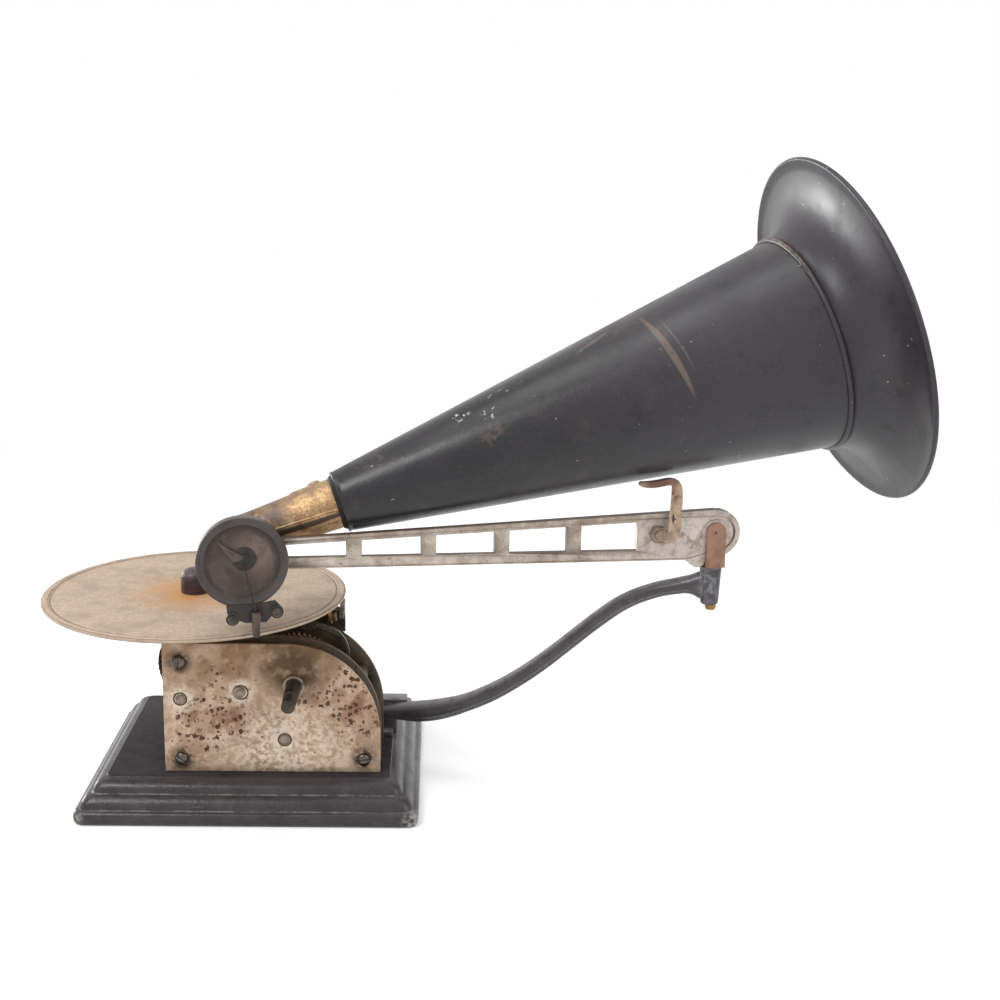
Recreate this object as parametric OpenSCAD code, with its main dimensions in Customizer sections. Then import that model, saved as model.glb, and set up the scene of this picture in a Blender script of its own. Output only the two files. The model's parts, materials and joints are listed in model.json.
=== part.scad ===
// Small open-works disc gramophone: cast base, spring motor between three plates,
// turntable, S-shaped carrying arm, ladder arm, brass neck, sound box and flared horn.
// Origin at the centre of the base's underside, X to the right, Y away from the front, Z up.

/* [Base] */
// width of the base over its bottom bead
base_w = 201; // [195:2:211]
// depth of the base over its bottom bead
base_d = 163; // [157:2:173]
// height of the base
base_h = 24; // [22:0.5:26]

/* [Motor] */
// width of the three motor plates
plate_w = 127; // [125:1:131]
// thickness of a motor plate
plate_t = 2.5; // [2:0.25:2.5]
// clear space between the front and middle plates
front_bay = 12.5; // [12.5:0.5:14]
// clear space between the middle and rear plates
rear_bay = 30.5; // [30:0.5:34]

/* [Turntable] */
// diameter of the turntable
turntable_d = 178; // [172:2:182]
// radius of the record pin
pin_r = 3.6; // [3.4:0.1:3.7]

/* [Arm] */
// distance from the arm's cross pin to the axis of the sound box
arm_length = 269; // [265:1:275]
// thickness of the ladder arm
arm_t = 5; // [4:0.5:5.5]

/* [Horn] */
// length of the straight cone of the horn
cone_len = 280; // [266:2:290]
// radius over the rim of the bell
bell_r = 102.5; // [97.5:1:107.5]

/* [Sound box] */
// outer radius of the sound box
box_r = 24.5; // [23.5:0.5:25.5]

/* [Hidden] */
$fn = 40;
gap = 0.3;
run = 0.05;

// base levels
step_in = 17.5;
platform_w = base_w - 2 * step_in;
platform_d = base_d - 2 * step_in;
base_wall = 4;

// motor plates, given by their front faces
front_y = -57;
mid_y = front_y + plate_t + front_bay;
rear_y = mid_y + plate_t + rear_bay;
back_y = rear_y + plate_t;
bay1_y = front_y + plate_t;
bay2_y = mid_y + plate_t;
plate_x0 = platform_w / 2 - plate_w - 5.5;
plate_z0 = base_h + gap;
plate_z1 = plate_z0 + 79;
shoulder_r = 55;

// arbors of the train, in the plane of the plates
spindle_x = plate_x0 + 16.5;
spindle_y = bay2_y + 7.5;
gear_m = 1;
crown_n = 48;
spin_n = 12;
crown_x = spindle_x;
crown_z = plate_z0 + 55.7;
second_n = 44;
crown_pin_n = 13;
second_z = crown_z - 6.3;
second_x = crown_x + sqrt(pow((second_n + crown_pin_n) / 2, 2) - pow(6.3, 2));
great_n = 50;
second_pin_n = 15;
wind_z = second_z + 4.2;
wind_x = second_x + sqrt(pow((great_n + second_pin_n) / 2, 2) - pow(4.2, 2));
crown_face_y = spindle_y + spin_n / 2;
pawl_x = wind_x - 5.7;
pawl_z = wind_z - 33.5;
ratchet_r = 15;
barrel_r = 20.5;
barrel_y0 = bay2_y + 4.2;
barrel_y1 = bay2_y + 22;

// lower pillars and their feet
foot_lx = plate_x0 + 10;
foot_rx = plate_x0 + plate_w - 9.8;
foot_z = plate_z0 + 8;

// turntable
tt_z1 = plate_z1 + 24.5;
tt_t = 2.6;
tt_r = turntable_d / 2;
worm_n = 24;
worm_z = plate_z1 + 9;
worm_r = 2.2;
worm_pitch = PI * gear_m;
gov_y = spindle_y + worm_n / 2 + worm_r;
gov_disc_x = spindle_x + 79;

// carrying arm, ladder arm and horn
pivot_y = -52.5;
pivot_z = 171.5;
arm_az = 10.5;
boss_z0 = 129;
boss_z1 = 149.8;
root_x = platform_w / 2 + 1;
root_y = back_y + 8.6;
pivot_x = root_x + 184.8;
plan_len = sqrt(pow(pivot_x - root_x, 2) + pow(pivot_y - root_y, 2));
plan_az = atan2(pivot_y - root_y, pivot_x - root_x);
ear_t = 2.2;
ear_y = arm_t / 2 + gap;
horn_el = 17.45;
horn_y = arm_t / 2 + 14.4;
horn_x = -arm_length + 55.3;
horn_z = 193.1;
horn_r0 = 17;
horn_t = 1;
cone_r = 62.3;
bell_len = 24.8;
box_z = 169.1;
box_y0 = -arm_t / 2 - 11.3;
box_y1 = -arm_t / 2 - 1.3;

// hook that carries the horn
hook_x = -34.7;

module at_arm() {
  translate([pivot_x, pivot_y, 0]) rotate([0, 0, arm_az]) children();
}

module at_box() {
  at_arm() translate([-arm_length, 0, box_z]) children();
}

module at_horn() {
  at_arm() translate([horn_x, horn_y, horn_z]) rotate([0, 90 - horn_el, 0]) children();
}

// cylinder along Y from y0 to y1
module ycyl(x, y0, y1, z, r) {
  translate([x, y1, z]) rotate([90, 0, 0]) cylinder(h = y1 - y0, r = r);
}

// flat shape in the XZ plane, from y0 to y1
module yplate(y0, y1) {
  translate([0, y1, 0]) rotate([90, 0, 0]) linear_extrude(height = y1 - y0) children();
}

// spur gear outline, trapezoid teeth with side clearance
module gear2d(n, m, phase = 0) {
  r = n * m / 2;
  polygon([for (i = [0 : n - 1]) for (k = [[-0.5, -1.2], [-0.30, -1.2], [-0.13, 0.85], [0.13, 0.85], [0.30, -1.2]])
    let (a = (i + k[0] + phase) * 360 / n) (r + k[1] * m) * [cos(a), sin(a)]]);
}

module rrect(w, d, r) {
  square([w - 2 * r, d], center = true);
  square([w, d - 2 * r], center = true);
  for (x = [-1, 1], y = [-1, 1]) translate([x * (w / 2 - r), y * (d / 2 - r)]) circle(r = r, $fn = 24);
}

// section of the base mould, half side, in shares of the height from the bottom bead upwards
mould = [[0.8, 0], [0.2, 0.05], [0, 0.14], [0.1, 0.2], [0.8, 0.25], [1.9, 0.275], [3.1, 0.28], [3.9, 0.39],
  [5, 0.48], [6.4, 0.545], [8, 0.588], [9.6, 0.6], [10.3, 0.72], [11.3, 0.812], [12.8, 0.892], [14.8, 0.946],
  [16.6, 0.965], [17.3, 0.99], [17.5, 1]];
module base_section(half) {
  polygon(concat([[0, 0]], [for (p = mould) [half - p[0], p[1] * base_h]], [[0, base_h]]));
}

module base_block() {
  intersection() {
    translate([0, base_d / 2, 0]) rotate([90, 0, 0]) linear_extrude(height = base_d) {
      intersection() {
        union() {
          base_section(base_w / 2);
          mirror([1, 0]) base_section(base_w / 2);
        }
        translate([-base_w / 2, 0]) square([base_w, base_h]);
      }
    }
    translate([-base_w / 2, 0, 0]) rotate([90, 0, 90]) linear_extrude(height = base_w) {
      intersection() {
        union() {
          base_section(base_d / 2);
          mirror([1, 0]) base_section(base_d / 2);
        }
        translate([-base_d / 2, 0]) square([base_d, base_h]);
      }
    }
    linear_extrude(height = base_h) rrect(base_w, base_d, 6);
  }
}

root_bolts = [25, 10];
base_bolt_xy = [[foot_lx, bay2_y + 6], [foot_lx, rear_y - 6], [foot_rx, bay2_y + 6], [foot_rx, rear_y - 6],
  [root_x - root_bolts[0], root_y + 8], [root_x - root_bolts[1], root_y + 8]];

module base_casting() {
  color("#2c2b2e") difference() {
    base_block();
    translate([0, 0, -1]) linear_extrude(height = base_h - base_wall - 9 + 1)
      rrect(base_w - 20, base_d - 20, 8);
    translate([0, 0, -1]) linear_extrude(height = base_h - base_wall + 1)
      rrect(platform_w - 4, platform_d - 4, 8);
    for (p = base_bolt_xy) translate([p[0], p[1], base_h - base_wall - 1])
      cylinder(h = base_wall + 2, r = 2.3, $fn = 24);
  }
  // lengthwise rib under the platform, level with the rim
  color("#2c2b2e") translate([10 - base_w / 2, -3, 0]) cube([base_w - 20, 6, base_h - base_wall - 9]);
  color("#2c2b2e") translate([2 - platform_w / 2, -3, 0]) cube([platform_w - 4, 6, base_h - base_wall]);
}

// six hexagon-headed bolts from below
module base_bolts() {
  color("#4a4745") for (p = base_bolt_xy) translate([p[0], p[1], 0]) {
    translate([0, 0, base_h - base_wall - 3.3]) cylinder(h = 3, r = 4, $fn = 6);
    translate([0, 0, base_h - base_wall - 1]) cylinder(h = base_wall + 4.2, r = 2, $fn = 24);
  }
}

// outline of a motor plate: square left, straight right foot, shoulder on a large radius
module plate_outline() {
  w = plate_w;
  h = plate_z1 - plate_z0;
  translate([plate_x0, plate_z0]) intersection() {
    union() {
      square([w - shoulder_r, h]);
      translate([w - shoulder_r, h - shoulder_r]) circle(r = shoulder_r, $fn = 96);
      square([w, h - shoulder_r]);
    }
    square([w, h]);
  }
}

front_pillar_xz = [[foot_lx, foot_z], [foot_rx, foot_z], [foot_lx, plate_z1 - 11], [foot_lx, crown_z - 11]];
step_screw_xz = [[crown_x, crown_z + 6.2], [crown_x + 7.3, crown_z + 6.2]];
rear_pillar_xz = [[foot_lx - 1.5, foot_z + 14], [foot_rx - 4, wind_z - 8]];

rear_screw_xz = concat(rear_pillar_xz, [[foot_lx, foot_z], [foot_rx, foot_z]]);

module pillar_holes(y0, y1, list) {
  for (p = list) ycyl(p[0], y0 - 1, y1 + 1, p[1], 2.05, $fn = 24);
}

module plate_front() {
  color("#b9a694") difference() {
    yplate(front_y, bay1_y) plate_outline();
    pillar_holes(front_y, bay1_y, front_pillar_xz);
    ycyl(wind_x, front_y - 1, bay1_y + 1, wind_z, 6);
    ycyl(second_x, front_y - 1, bay1_y + 1, second_z, 3.55);
    ycyl(pawl_x, front_y - 1, bay1_y + 1, pawl_z, 3.05);
  }
}

module plate_middle() {
  color("#8d7c69") difference() {
    yplate(mid_y, bay2_y) plate_outline();
    pillar_holes(mid_y, bay2_y, concat(front_pillar_xz, rear_pillar_xz));
    for (p = step_screw_xz) ycyl(p[0], mid_y - 1, bay2_y + 1, p[1], 1.55, $fn = 24);
    ycyl(wind_x, mid_y - 1, bay2_y + 1, wind_z, 4 + run);
    ycyl(second_x, mid_y - 1, bay2_y + 1, second_z, 3);
    ycyl(crown_x, mid_y - 1, bay2_y + 1, crown_z, 1.5 + run);
  }
}

module plate_rear() {
  color("#b9a694") difference() {
    yplate(rear_y, back_y) plate_outline();
    pillar_holes(rear_y, back_y, rear_screw_xz);
    ycyl(wind_x, rear_y - 1, back_y + 1, wind_z, 3 + run);
    ycyl(second_x, rear_y - 1, back_y + 1, second_z, 1.5 + run);
    ycyl(crown_x, rear_y - 1, back_y + 1, crown_z, 1.5 + run);
  }
}

// spacers of the front bay, tapped at both ends
module front_pillars() {
  color("#8a8580") for (p = front_pillar_xz) difference() {
    ycyl(p[0], bay1_y, mid_y, p[1], 4.5);
    ycyl(p[0], bay1_y - 1, mid_y + 1, p[1], 2.05);
  }
}

module rear_pillars() {
  color("#8a8580") for (p = rear_pillar_xz) difference() {
    ycyl(p[0], bay2_y, rear_y, p[1], 4.5);
    ycyl(p[0], bay2_y - 1, rear_y + 1, p[1], 2.05);
  }
}

// square bars between the middle and rear plates that carry the motor on the base
module foot_bars() {
  color("#6d6862") for (x = [foot_lx, foot_rx]) difference() {
    translate([x - 6, bay2_y, base_h]) cube([12, rear_y - bay2_y, foot_z + 6 - base_h]);
    ycyl(x, bay2_y - 1, rear_y + 1, foot_z, 2.05);
    for (y = [bay2_y + 6, rear_y - 6]) translate([x, y, base_h - 1]) cylinder(h = 7.5, r = 2.05, $fn = 24);
  }
}

// slotted screw along Y, its head at the front or, with side 1, at the back
module plate_screw(x, y, z, len, side = 0) {
  translate([x, y, z]) rotate([90, 0, side * 180]) difference() {
    union() {
      cylinder(h = 2.2, r = 3.7);
      translate([0, 0, -len]) cylinder(h = len + 1, r = 2);
    }
    translate([-5, -0.6, 1.2]) cube([10, 1.2, 2]);
  }
}

module plate_screws() {
  color("#5c5148") {
    for (i = [0 : 2]) plate_screw(front_pillar_xz[i][0], front_y, front_pillar_xz[i][1], plate_t + 6);
    for (p = rear_screw_xz) plate_screw(p[0], back_y, p[1], plate_t + 6, 1);
  }
}

// bushes and rivets in the front plate: winding arbor, second arbor, pawl stud and one pillar
module bushes() {
  color("#7a6a58") {
    difference() {
      union() {
        ycyl(wind_x, front_y - 1.2, bay1_y, wind_z, 6);
        ycyl(wind_x, front_y - 1.2, front_y, wind_z, 6.5);
      }
      ycyl(wind_x, front_y - 2, bay1_y + 1, wind_z, 4.5 + run);
    }
    difference() {
      ycyl(second_x, front_y - 1, bay1_y + 0.5, second_z, 3.5);
      ycyl(second_x, front_y - 0.2, bay1_y + 1, second_z, 1.5 + run);
    }
    ycyl(pawl_x, front_y - 1, bay1_y + 2, pawl_z, 3);
    ycyl(pawl_x, bay1_y, mid_y, pawl_z, 2);
    ycyl(front_pillar_xz[3][0], front_y - 1, front_y, front_pillar_xz[3][1], 2.7);
    ycyl(front_pillar_xz[3][0], front_y - 1, bay1_y + 6, front_pillar_xz[3][1], 2);
  }
}

bridge_z = plate_z1 + 3;

// cross bar over the middle and rear plates with the spindle's upper bearing
module top_bridge() {
  color("#8a8580") difference() {
    union() {
      translate([spindle_x - 12, mid_y, bridge_z]) cube([24, back_y - mid_y, 2.5]);
      for (y = [mid_y, rear_y]) translate([spindle_x - 12, y, plate_z1]) cube([24, plate_t, 4]);
      translate([spindle_x, spindle_y, bridge_z]) cylinder(h = 4, r = 6.5);
    }
    translate([spindle_x, spindle_y, plate_z1 - 1]) cylinder(h = 10, r = 4 + run);
  }
}

// block on the middle plate with the cup that carries the spindle's foot
step_z0 = crown_z + 4.5;
step_z1 = step_z0 + 7;
module step_bearing() {
  color("#9a7a45") difference() {
    translate([spindle_x - 10, bay2_y, step_z0]) cube([20, spindle_y + 3.4 - bay2_y, step_z1 - step_z0]);
    translate([spindle_x, spindle_y, step_z0 + 3]) cylinder(h = 10, r = 2.5 + run);
    for (p = step_screw_xz) ycyl(p[0], bay2_y - 1, bay2_y + 5, p[1], 1.55, $fn = 24);
  }
}

module step_screws() {
  color("#5c5148") for (p = step_screw_xz) {
    ycyl(p[0], mid_y - 1.8, mid_y, p[1], 2.6);
    ycyl(p[0], mid_y - 1, bay2_y + 4.5, p[1], 1.5, $fn = 24);
  }
}

// strip behind the rear plate with two ears for the governor shaft
gov_x0 = spindle_x - 15;
gov_x1 = gov_disc_x + 8;
ear_front = 2.6;
module governor_bracket() {
  color("#8a8580") difference() {
    union() {
      translate([gov_x0, back_y, plate_z1 - 9]) cube([gov_x1 - gov_x0, 2, 14]);
      for (x = [gov_x0, gov_x1 - 2.5]) translate([x, gov_y - ear_front, worm_z - 5])
        cube([2.5, back_y + 2 - gov_y + ear_front, 9.5]);
      for (x = [gov_x0, gov_x1 - 2.5]) translate([x, back_y, plate_z1 - 9]) cube([2.5, 2, 22]);
    }
    for (x = [gov_x0, gov_x1 - 2.5]) translate([x - 1, gov_y, worm_z]) rotate([0, 90, 0])
      cylinder(h = 5, r = 1.5 + run, $fn = 24);
  }
}

// carrying arm: a cast S curve in an upright plane, root bracket and swivel boss
function ease(u) = u * u * (3 - 2 * u);
function arm_mid(t) = 40.5 + 90 * ease(pow(min(1, t / 0.92), 1.18)) + 8.5 * t;
function arm_half(t) = 6.6 - 1.9 * t + 3.6 * pow(max(0, (t - 0.88) / 0.12), 2);
function arm_s(t) = 10 + t * (plan_len - 14);
module s_profile(k) {
  steps = 20;
  polygon(concat(
    [for (i = [0 : steps]) let (t = i / steps) [arm_s(t), arm_mid(t) + k * arm_half(t)]],
    [for (i = [steps : -1 : 0]) let (t = i / steps) [arm_s(t), arm_mid(t) - k * arm_half(t)]]));
}

module in_arm_plane(w) {
  translate([root_x, root_y, 0]) rotate([0, 0, plan_az]) translate([0, w / 2, 0]) rotate([90, 0, 0])
    linear_extrude(height = w) children();
}

module s_arm() {
  color("#2c2b2e") difference() {
    union() {
      in_arm_plane(8.5) s_profile(1);
      in_arm_plane(12) s_profile(0.55);
      translate([root_x - 11, root_y - 6, base_h]) cube([13, 12, 20]);
      translate([root_x - 11, root_y - 6, 33]) cube([24, 12, 13]);
      translate([root_x - 12, root_y - 7, 46]) cube([22, 14, 2]);
      translate([root_x - 32, root_y - 6, base_h]) cube([31, 18, 4]);
      translate([pivot_x, pivot_y, boss_z0]) cylinder(h = boss_z1 - boss_z0, r1 = 5.2, r2 = 6.2);
    }
    translate([pivot_x, pivot_y, boss_z0 - 1]) cylinder(h = 40, r = 2.7 + run);
    for (x = root_bolts) translate([root_x - x, root_y + 8, base_h - 1]) cylinder(h = 4.6, r = 2.05, $fn = 24);
  }
}

// winding parts
module winding_arbor() {
  color("#6b5a4a") {
    ycyl(wind_x, front_y - 33, front_y - 21, wind_z, 4);
    ycyl(wind_x, front_y - 21, bay1_y + 4, wind_z, 4.5);
    ycyl(wind_x, bay1_y + 4, barrel_y1, wind_z, 4);
    ycyl(wind_x, barrel_y1, back_y + 1, wind_z, 3);
  }
}

module ratchet_wheel() {
  n = 18;
  color("#7d766c") difference() {
    yplate(bay1_y + 4, bay1_y + 7) translate([wind_x, wind_z]) polygon([for (i = [0 : n - 1])
      for (k = [[0, ratchet_r], [0.86, ratchet_r - 2.4]])
        let (a = (i + k[0]) * 360 / n) k[1] * [cos(a), sin(a)]]);
    ycyl(wind_x, bay1_y, bay1_y + 9, wind_z, 4);
  }
}

module pawl() {
  dx = wind_x - pawl_x;
  dz = wind_z - pawl_z;
  color("#7d766c") difference() {
    yplate(bay1_y + 4, bay1_y + 7) translate([pawl_x, pawl_z]) {
      circle(r = 4.5);
      polygon([[4, 1.5], [dx - 15.2, dz - 9.5], [dx - 15.2, dz - 4.5], [dx - 16.6, dz - 3.6],
        [dx - 19, dz - 7], [-4, 1.5]]);
    }
    ycyl(pawl_x, bay1_y, bay1_y + 9, pawl_z, 2 + run, $fn = 24);
  }
}

module click_spring() {
  color("#a59c90") {
    translate([pawl_x - 20, bay1_y + 3.4, pawl_z - 4]) cube([7, mid_y - bay1_y - 3.4, 6]);
    yplate(bay1_y + 3.4, bay1_y + 7.4) translate([pawl_x - 14, pawl_z + 2])
      polygon([[-1.5, -1], [-0.6, -1], [5, 6.4], [4.4, 7]]);
  }
}

module spring_barrel() {
  color("#8f7a4d") difference() {
    ycyl(wind_x, barrel_y0, barrel_y1, wind_z, barrel_r);
    ycyl(wind_x, barrel_y0 + 1.2, barrel_y1 - 1.2, wind_z, barrel_r - 1);
    ycyl(wind_x, barrel_y0 - 1, barrel_y1 + 1, wind_z, 4 + run);
  }
}

module great_wheel() {
  color("#a88c55") difference() {
    yplate(bay2_y + 2, barrel_y0) translate([wind_x, wind_z]) gear2d(great_n, gear_m, great_phase);
    ycyl(wind_x, bay2_y, barrel_y0 + 1, wind_z, 4 + run);
  }
}

// coiled strip inside the barrel
spring_turns = 6;
module mainspring() {
  steps = spring_turns * 18;
  r0 = 5.4;
  r1 = barrel_r - 1.8;
  color("#5b6068") yplate(barrel_y0 + 1.6, barrel_y1 - 1.6) translate([wind_x, wind_z]) polygon(concat(
    [for (i = [0 : steps]) let (a = i * 20, r = r0 + (r1 - r0) * i / steps) r * [cos(a), sin(a)]],
    [for (i = [steps : -1 : 0]) let (a = i * 20, r = r0 + 0.6 + (r1 - r0) * i / steps) r * [cos(a), sin(a)]]));
}

// angle from one arbor to another in the plane of the plates, and the teeth's phases
great_dir = atan2(second_z - wind_z, second_x - wind_x);
second_dir = atan2(crown_z - second_z, crown_x - second_x);
great_phase = great_dir / 360 * great_n;
second_pin_phase = (great_dir + 180) / 360 * second_pin_n + 0.5;
second_phase = second_dir / 360 * second_n;
crown_pin_phase = (second_dir + 180) / 360 * crown_pin_n + 0.5;

module second_arbor() {
  color("#7d766c") {
    ycyl(second_x, front_y + 0.4, rear_y - 1, second_z, 1.5, $fn = 24);
    ycyl(second_x, rear_y - 2, back_y + 0.5, second_z, 1.5, $fn = 24);
    ycyl(second_x, bay1_y + 1, rear_y - 1, second_z, 2.5);
    yplate(bay2_y + 1, bay2_y + 5.5) translate([second_x, second_z])
      gear2d(second_pin_n, gear_m, second_pin_phase);
  }
}

// rim, hub and four crossings of a wheel
module wheel2d(r) {
  difference() {
    circle(r = r - 2.2);
    difference() {
      circle(r = r - 5);
      circle(r = 6);
      for (a = [0, 90]) rotate(a) square([2 * r, 3], center = true);
    }
  }
}

module second_wheel() {
  color("#a88c55") difference() {
    union() {
      yplate(rear_y - 5, rear_y - 3) translate([second_x, second_z]) difference() {
        gear2d(second_n, gear_m, second_phase);
        circle(r = second_n / 2 - 2.4);
      }
      yplate(rear_y - 5, rear_y - 3) translate([second_x, second_z]) wheel2d(second_n / 2);
    }
    ycyl(second_x, rear_y - 9, rear_y, second_z, 2.5);
  }
}

module crown_arbor() {
  color("#7d766c") {
    ycyl(crown_x, mid_y + 0.5, back_y - 0.5, crown_z, 1.5, $fn = 24);
    ycyl(crown_x, bay2_y + 1, rear_y - 1, crown_z, 2.2);
    yplate(rear_y - 6, rear_y - 1.5) translate([crown_x, crown_z]) gear2d(crown_pin_n, gear_m, crown_pin_phase);
  }
}

// face gear that turns the upright spindle
module crown_wheel() {
  y0 = crown_face_y + 1.25;
  color("#4a4035") difference() {
    union() {
      yplate(y0, y0 + 2.2) translate([crown_x, crown_z]) {
        wheel2d(crown_n / 2 + 3.4);
      }
      for (i = [0 : crown_n - 1]) translate([crown_x, y0, crown_z]) rotate([0, i * 360 / crown_n, 0])
        translate([-0.45, -2.1, 21.8]) cube([0.9, 2.4, 3.2]);
    }
    ycyl(crown_x, y0 - 4, y0 + 5, crown_z, 2.2);
  }
}

// upright spindle with its pinion, record pin at the top
spin_z = crown_z + crown_n / 2 - 0.7;
module spindle() {
  color("#8a8580") {
    translate([spindle_x, spindle_y, step_z0 + 3.2]) cylinder(h = 6, r = 2.5);
    translate([spindle_x, spindle_y, step_z1 + 0.6]) cylinder(h = tt_z1 - 12 - step_z1 - 0.6, r = 4);
    translate([spindle_x, spindle_y, tt_z1 - 12.5]) cylinder(h = 26, r = pin_r);
  }
}

module spindle_pinion() {
  color("#9a7a45") difference() {
    translate([spindle_x, spindle_y, spin_z - 2]) linear_extrude(height = 3.8) gear2d(spin_n, gear_m * 0.98, 0.5);
    translate([spindle_x, spindle_y, spin_z - 3]) cylinder(h = 8, r = 4);
  }
}

module worm_wheel() {
  color("#9a7a45") difference() {
    translate([spindle_x, spindle_y, worm_z - 1]) linear_extrude(height = 2) polygon([for (i = [0 : worm_n - 1])
      for (k = [[-0.5, -1], [-0.28, -1], [-0.1, 0.5], [0.1, 0.5], [0.28, -1]])
        let (a = (i + k[0]) * 360 / worm_n) (worm_n / 2 + k[1]) * [cos(a), sin(a)]]);
    translate([spindle_x, spindle_y, worm_z - 3]) cylinder(h = 8, r = 4);
  }
}

// turntable: thin disc with a raised rim, a groove inside it and a hub below
module turntable() {
  color("#cbb8a6") translate([spindle_x, spindle_y, tt_z1]) difference() {
    rotate_extrude($fn = 96) polygon([[3, -tt_t - 0.2], [9, -tt_t - 0.2], [tt_r - 1.6, -tt_t], [tt_r, -2],
      [tt_r, -0.4], [tt_r - 0.6, 0], [tt_r - 4, 0], [tt_r - 4.4, -0.5], [tt_r - 5.6, -0.5], [tt_r - 6, -0.3],
      [3, -0.3]]);
    translate([0, 0, -10]) cylinder(h = 20, r = pin_r);
  }
}

module turntable_hub() {
  color("#6d6862") translate([spindle_x, spindle_y, tt_z1 - tt_t - 0.2]) difference() {
    union() {
      translate([0, 0, -8.6]) cylinder(h = 8.6, r = 7);
      translate([0, 0, -2]) cylinder(h = 2, r = 13);
    }
    translate([0, 0, -20]) cylinder(h = 30, r = pin_r);
  }
}

// domed nut that drops over the pin and holds the record down
module record_clamp() {
  color("#5b5052") translate([spindle_x, spindle_y, tt_z1 + 0.1]) difference() {
    rotate_extrude() polygon([[0, 0], [10, 0], [10.2, 1], [8.6, 3], [8.6, 9], [8, 11.5], [6.4, 13.6], [3.6, 14.6],
      [0, 14.9]]);
    translate([0, 0, -0.5]) cylinder(h = 14, r = pin_r + run);
  }
}

// governor: shaft along X with a worm at its left end, weights on leaf springs, friction disc
gov_c0 = spindle_x + 34;
gov_c1 = gov_disc_x - 6;
module gov_cyl(x0, x1, r, n = 32) {
  translate([x0, gov_y, worm_z]) rotate([0, 90, 0]) cylinder(h = x1 - x0, r = r, $fn = n);
}

module governor_shaft() {
  color("#8a8580") {
    gov_cyl(gov_x0 + 0.5, gov_x0 + 4, 1.5, 24);
    gov_cyl(gov_x0 + 3.5, spindle_x - 7, 2, 24);
    gov_cyl(spindle_x + 7, gov_x1 - 3.5, 2, 24);
    gov_cyl(gov_x1 - 4, gov_x1 - 0.5, 1.5, 24);
    gov_cyl(gov_c0 - 3, gov_c0 + 3, 4.4);
  }
}

// one start, wound by one turn for each tooth of the wheel
module governor_worm() {
  color("#8a8580") translate([spindle_x - 7, gov_y, worm_z]) rotate([0, 90, 0])
    linear_extrude(height = 14, twist = -360 * 14 / worm_pitch, slices = 54)
      rotate(90 - 360 * 7 / worm_pitch) translate([0.75, 0]) circle(r = 2.15, $fn = 14);
}

module governor_disc() {
  color("#9a7a45") difference() {
    union() {
      gov_cyl(gov_disc_x - 1, gov_disc_x + 1, 9, 48);
      gov_cyl(gov_c1 - 3, gov_disc_x, 4.4);
    }
    gov_cyl(gov_c1 - 4, gov_disc_x + 2, 2 + run);
  }
}

module governor_weights() {
  xm = (gov_c0 + gov_c1) / 2;
  color("#b08b4f") translate([xm, gov_y, worm_z]) for (a = [0, 120, 240]) rotate([a, 0, 0])
    translate([0, 0, 6.9]) sphere(r = 3, $fn = 24);
}

module governor_springs() {
  xm = (gov_c0 + gov_c1) / 2;
  half = xm - gov_c0;
  color("#a59c90") for (a = [0, 120, 240]) translate([xm, gov_y, worm_z]) rotate([a, 0, 0]) {
    for (s = [0, 1]) mirror([s, 0, 0]) rotate([90, 0, 0]) translate([0, 0, -1.5]) linear_extrude(height = 3)
      polygon([[-half - 2.5, 4.4], [-half + 2, 4.4], [-4.4, 6.2], [-3.05, 6.2], [-3.05, 6.6], [-4.5, 6.6],
        [-half + 1.8, 4.8], [-half - 2.5, 4.8]]);
  }
}

// speed and stop lever: a curved strip in front of the governor disc, with its leather pad
lever_x = gov_disc_x + 7.2;
lever_z = plate_z1 - 20;
lever_y = gov_y - 9;
lever_r = 2;
pad_x = gov_disc_x + 1 + gap;
pad_y = 3.6;
module lever_stud() {
  color("#5c5148") {
    ycyl(lever_x, lever_y - 1.6, rear_y, lever_z, lever_r);
    ycyl(lever_x, lever_y - 1.6, lever_y - gap, lever_z, 3.4);
    ycyl(lever_x, lever_y + 2 + gap, rear_y, lever_z, 3.4);
  }
}

module speed_lever() {
  color("#a59c90") {
    difference() {
      yplate(lever_y, lever_y + 2) translate([lever_x, lever_z]) union() {
        circle(r = 4.5);
        polygon([[4.4, 0], [4.6, 4.5], [3.8, 9], [2, 13.4], [-1.2, 17.4], [-5.2, 20.2], [-9.8, 21.4], [-15.2, 21.4],
          [-15.2, 18], [-10.6, 18], [-6.8, 16.8], [-3.8, 14.4], [-1.8, 10.8], [-1.4, 6], [-4.4, 1]]);
      }
      ycyl(lever_x, lever_y - 1, lever_y + 3, lever_z, lever_r + run);
    }
    translate([pad_x + 1.4, lever_y + 2, worm_z - 5.4]) cube([1.2, pad_y, 5]);
  }
}

module brake_pad() {
  color("#6b4a2c") translate([pad_x, lever_y + 2.3, worm_z - 5.4]) cube([1.4, pad_y - 0.3, 5]);
}

// swivel fork on top of the boss
clevis_z = boss_z1 + gap;
clevis_t = 1.4;
module clevis() {
  color("#9b7763") at_arm() difference() {
    union() {
      translate([-13, -ear_y - ear_t, clevis_z]) cube([18.6, 2 * (ear_y + ear_t), clevis_t]);
      for (y0 = [-ear_y - ear_t, ear_y]) yplate(y0, y0 + ear_t) {
        translate([0, pivot_z + 1]) circle(r = 5.6);
        translate([-5.6, clevis_z]) square([11.2, pivot_z + 1 - clevis_z]);
      }
    }
    ycyl(0, -ear_y - ear_t - 1, ear_y + ear_t + 1, pivot_z, 2.5);
    translate([0, 0, clevis_z - 1]) cylinder(h = 4, r = 2.7);
  }
}

// stud of the fork, turning in the boss, with a brass nut below
module swivel_stud() {
  color("#8a6a3a") at_arm() {
    translate([0, 0, boss_z0 - 3.4]) cylinder(h = clevis_z + clevis_t - boss_z0 + 3.4, r = 2.7);
    translate([0, 0, boss_z0 - gap - 2]) cylinder(h = 2, r = 3.2);
  }
}

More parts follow.
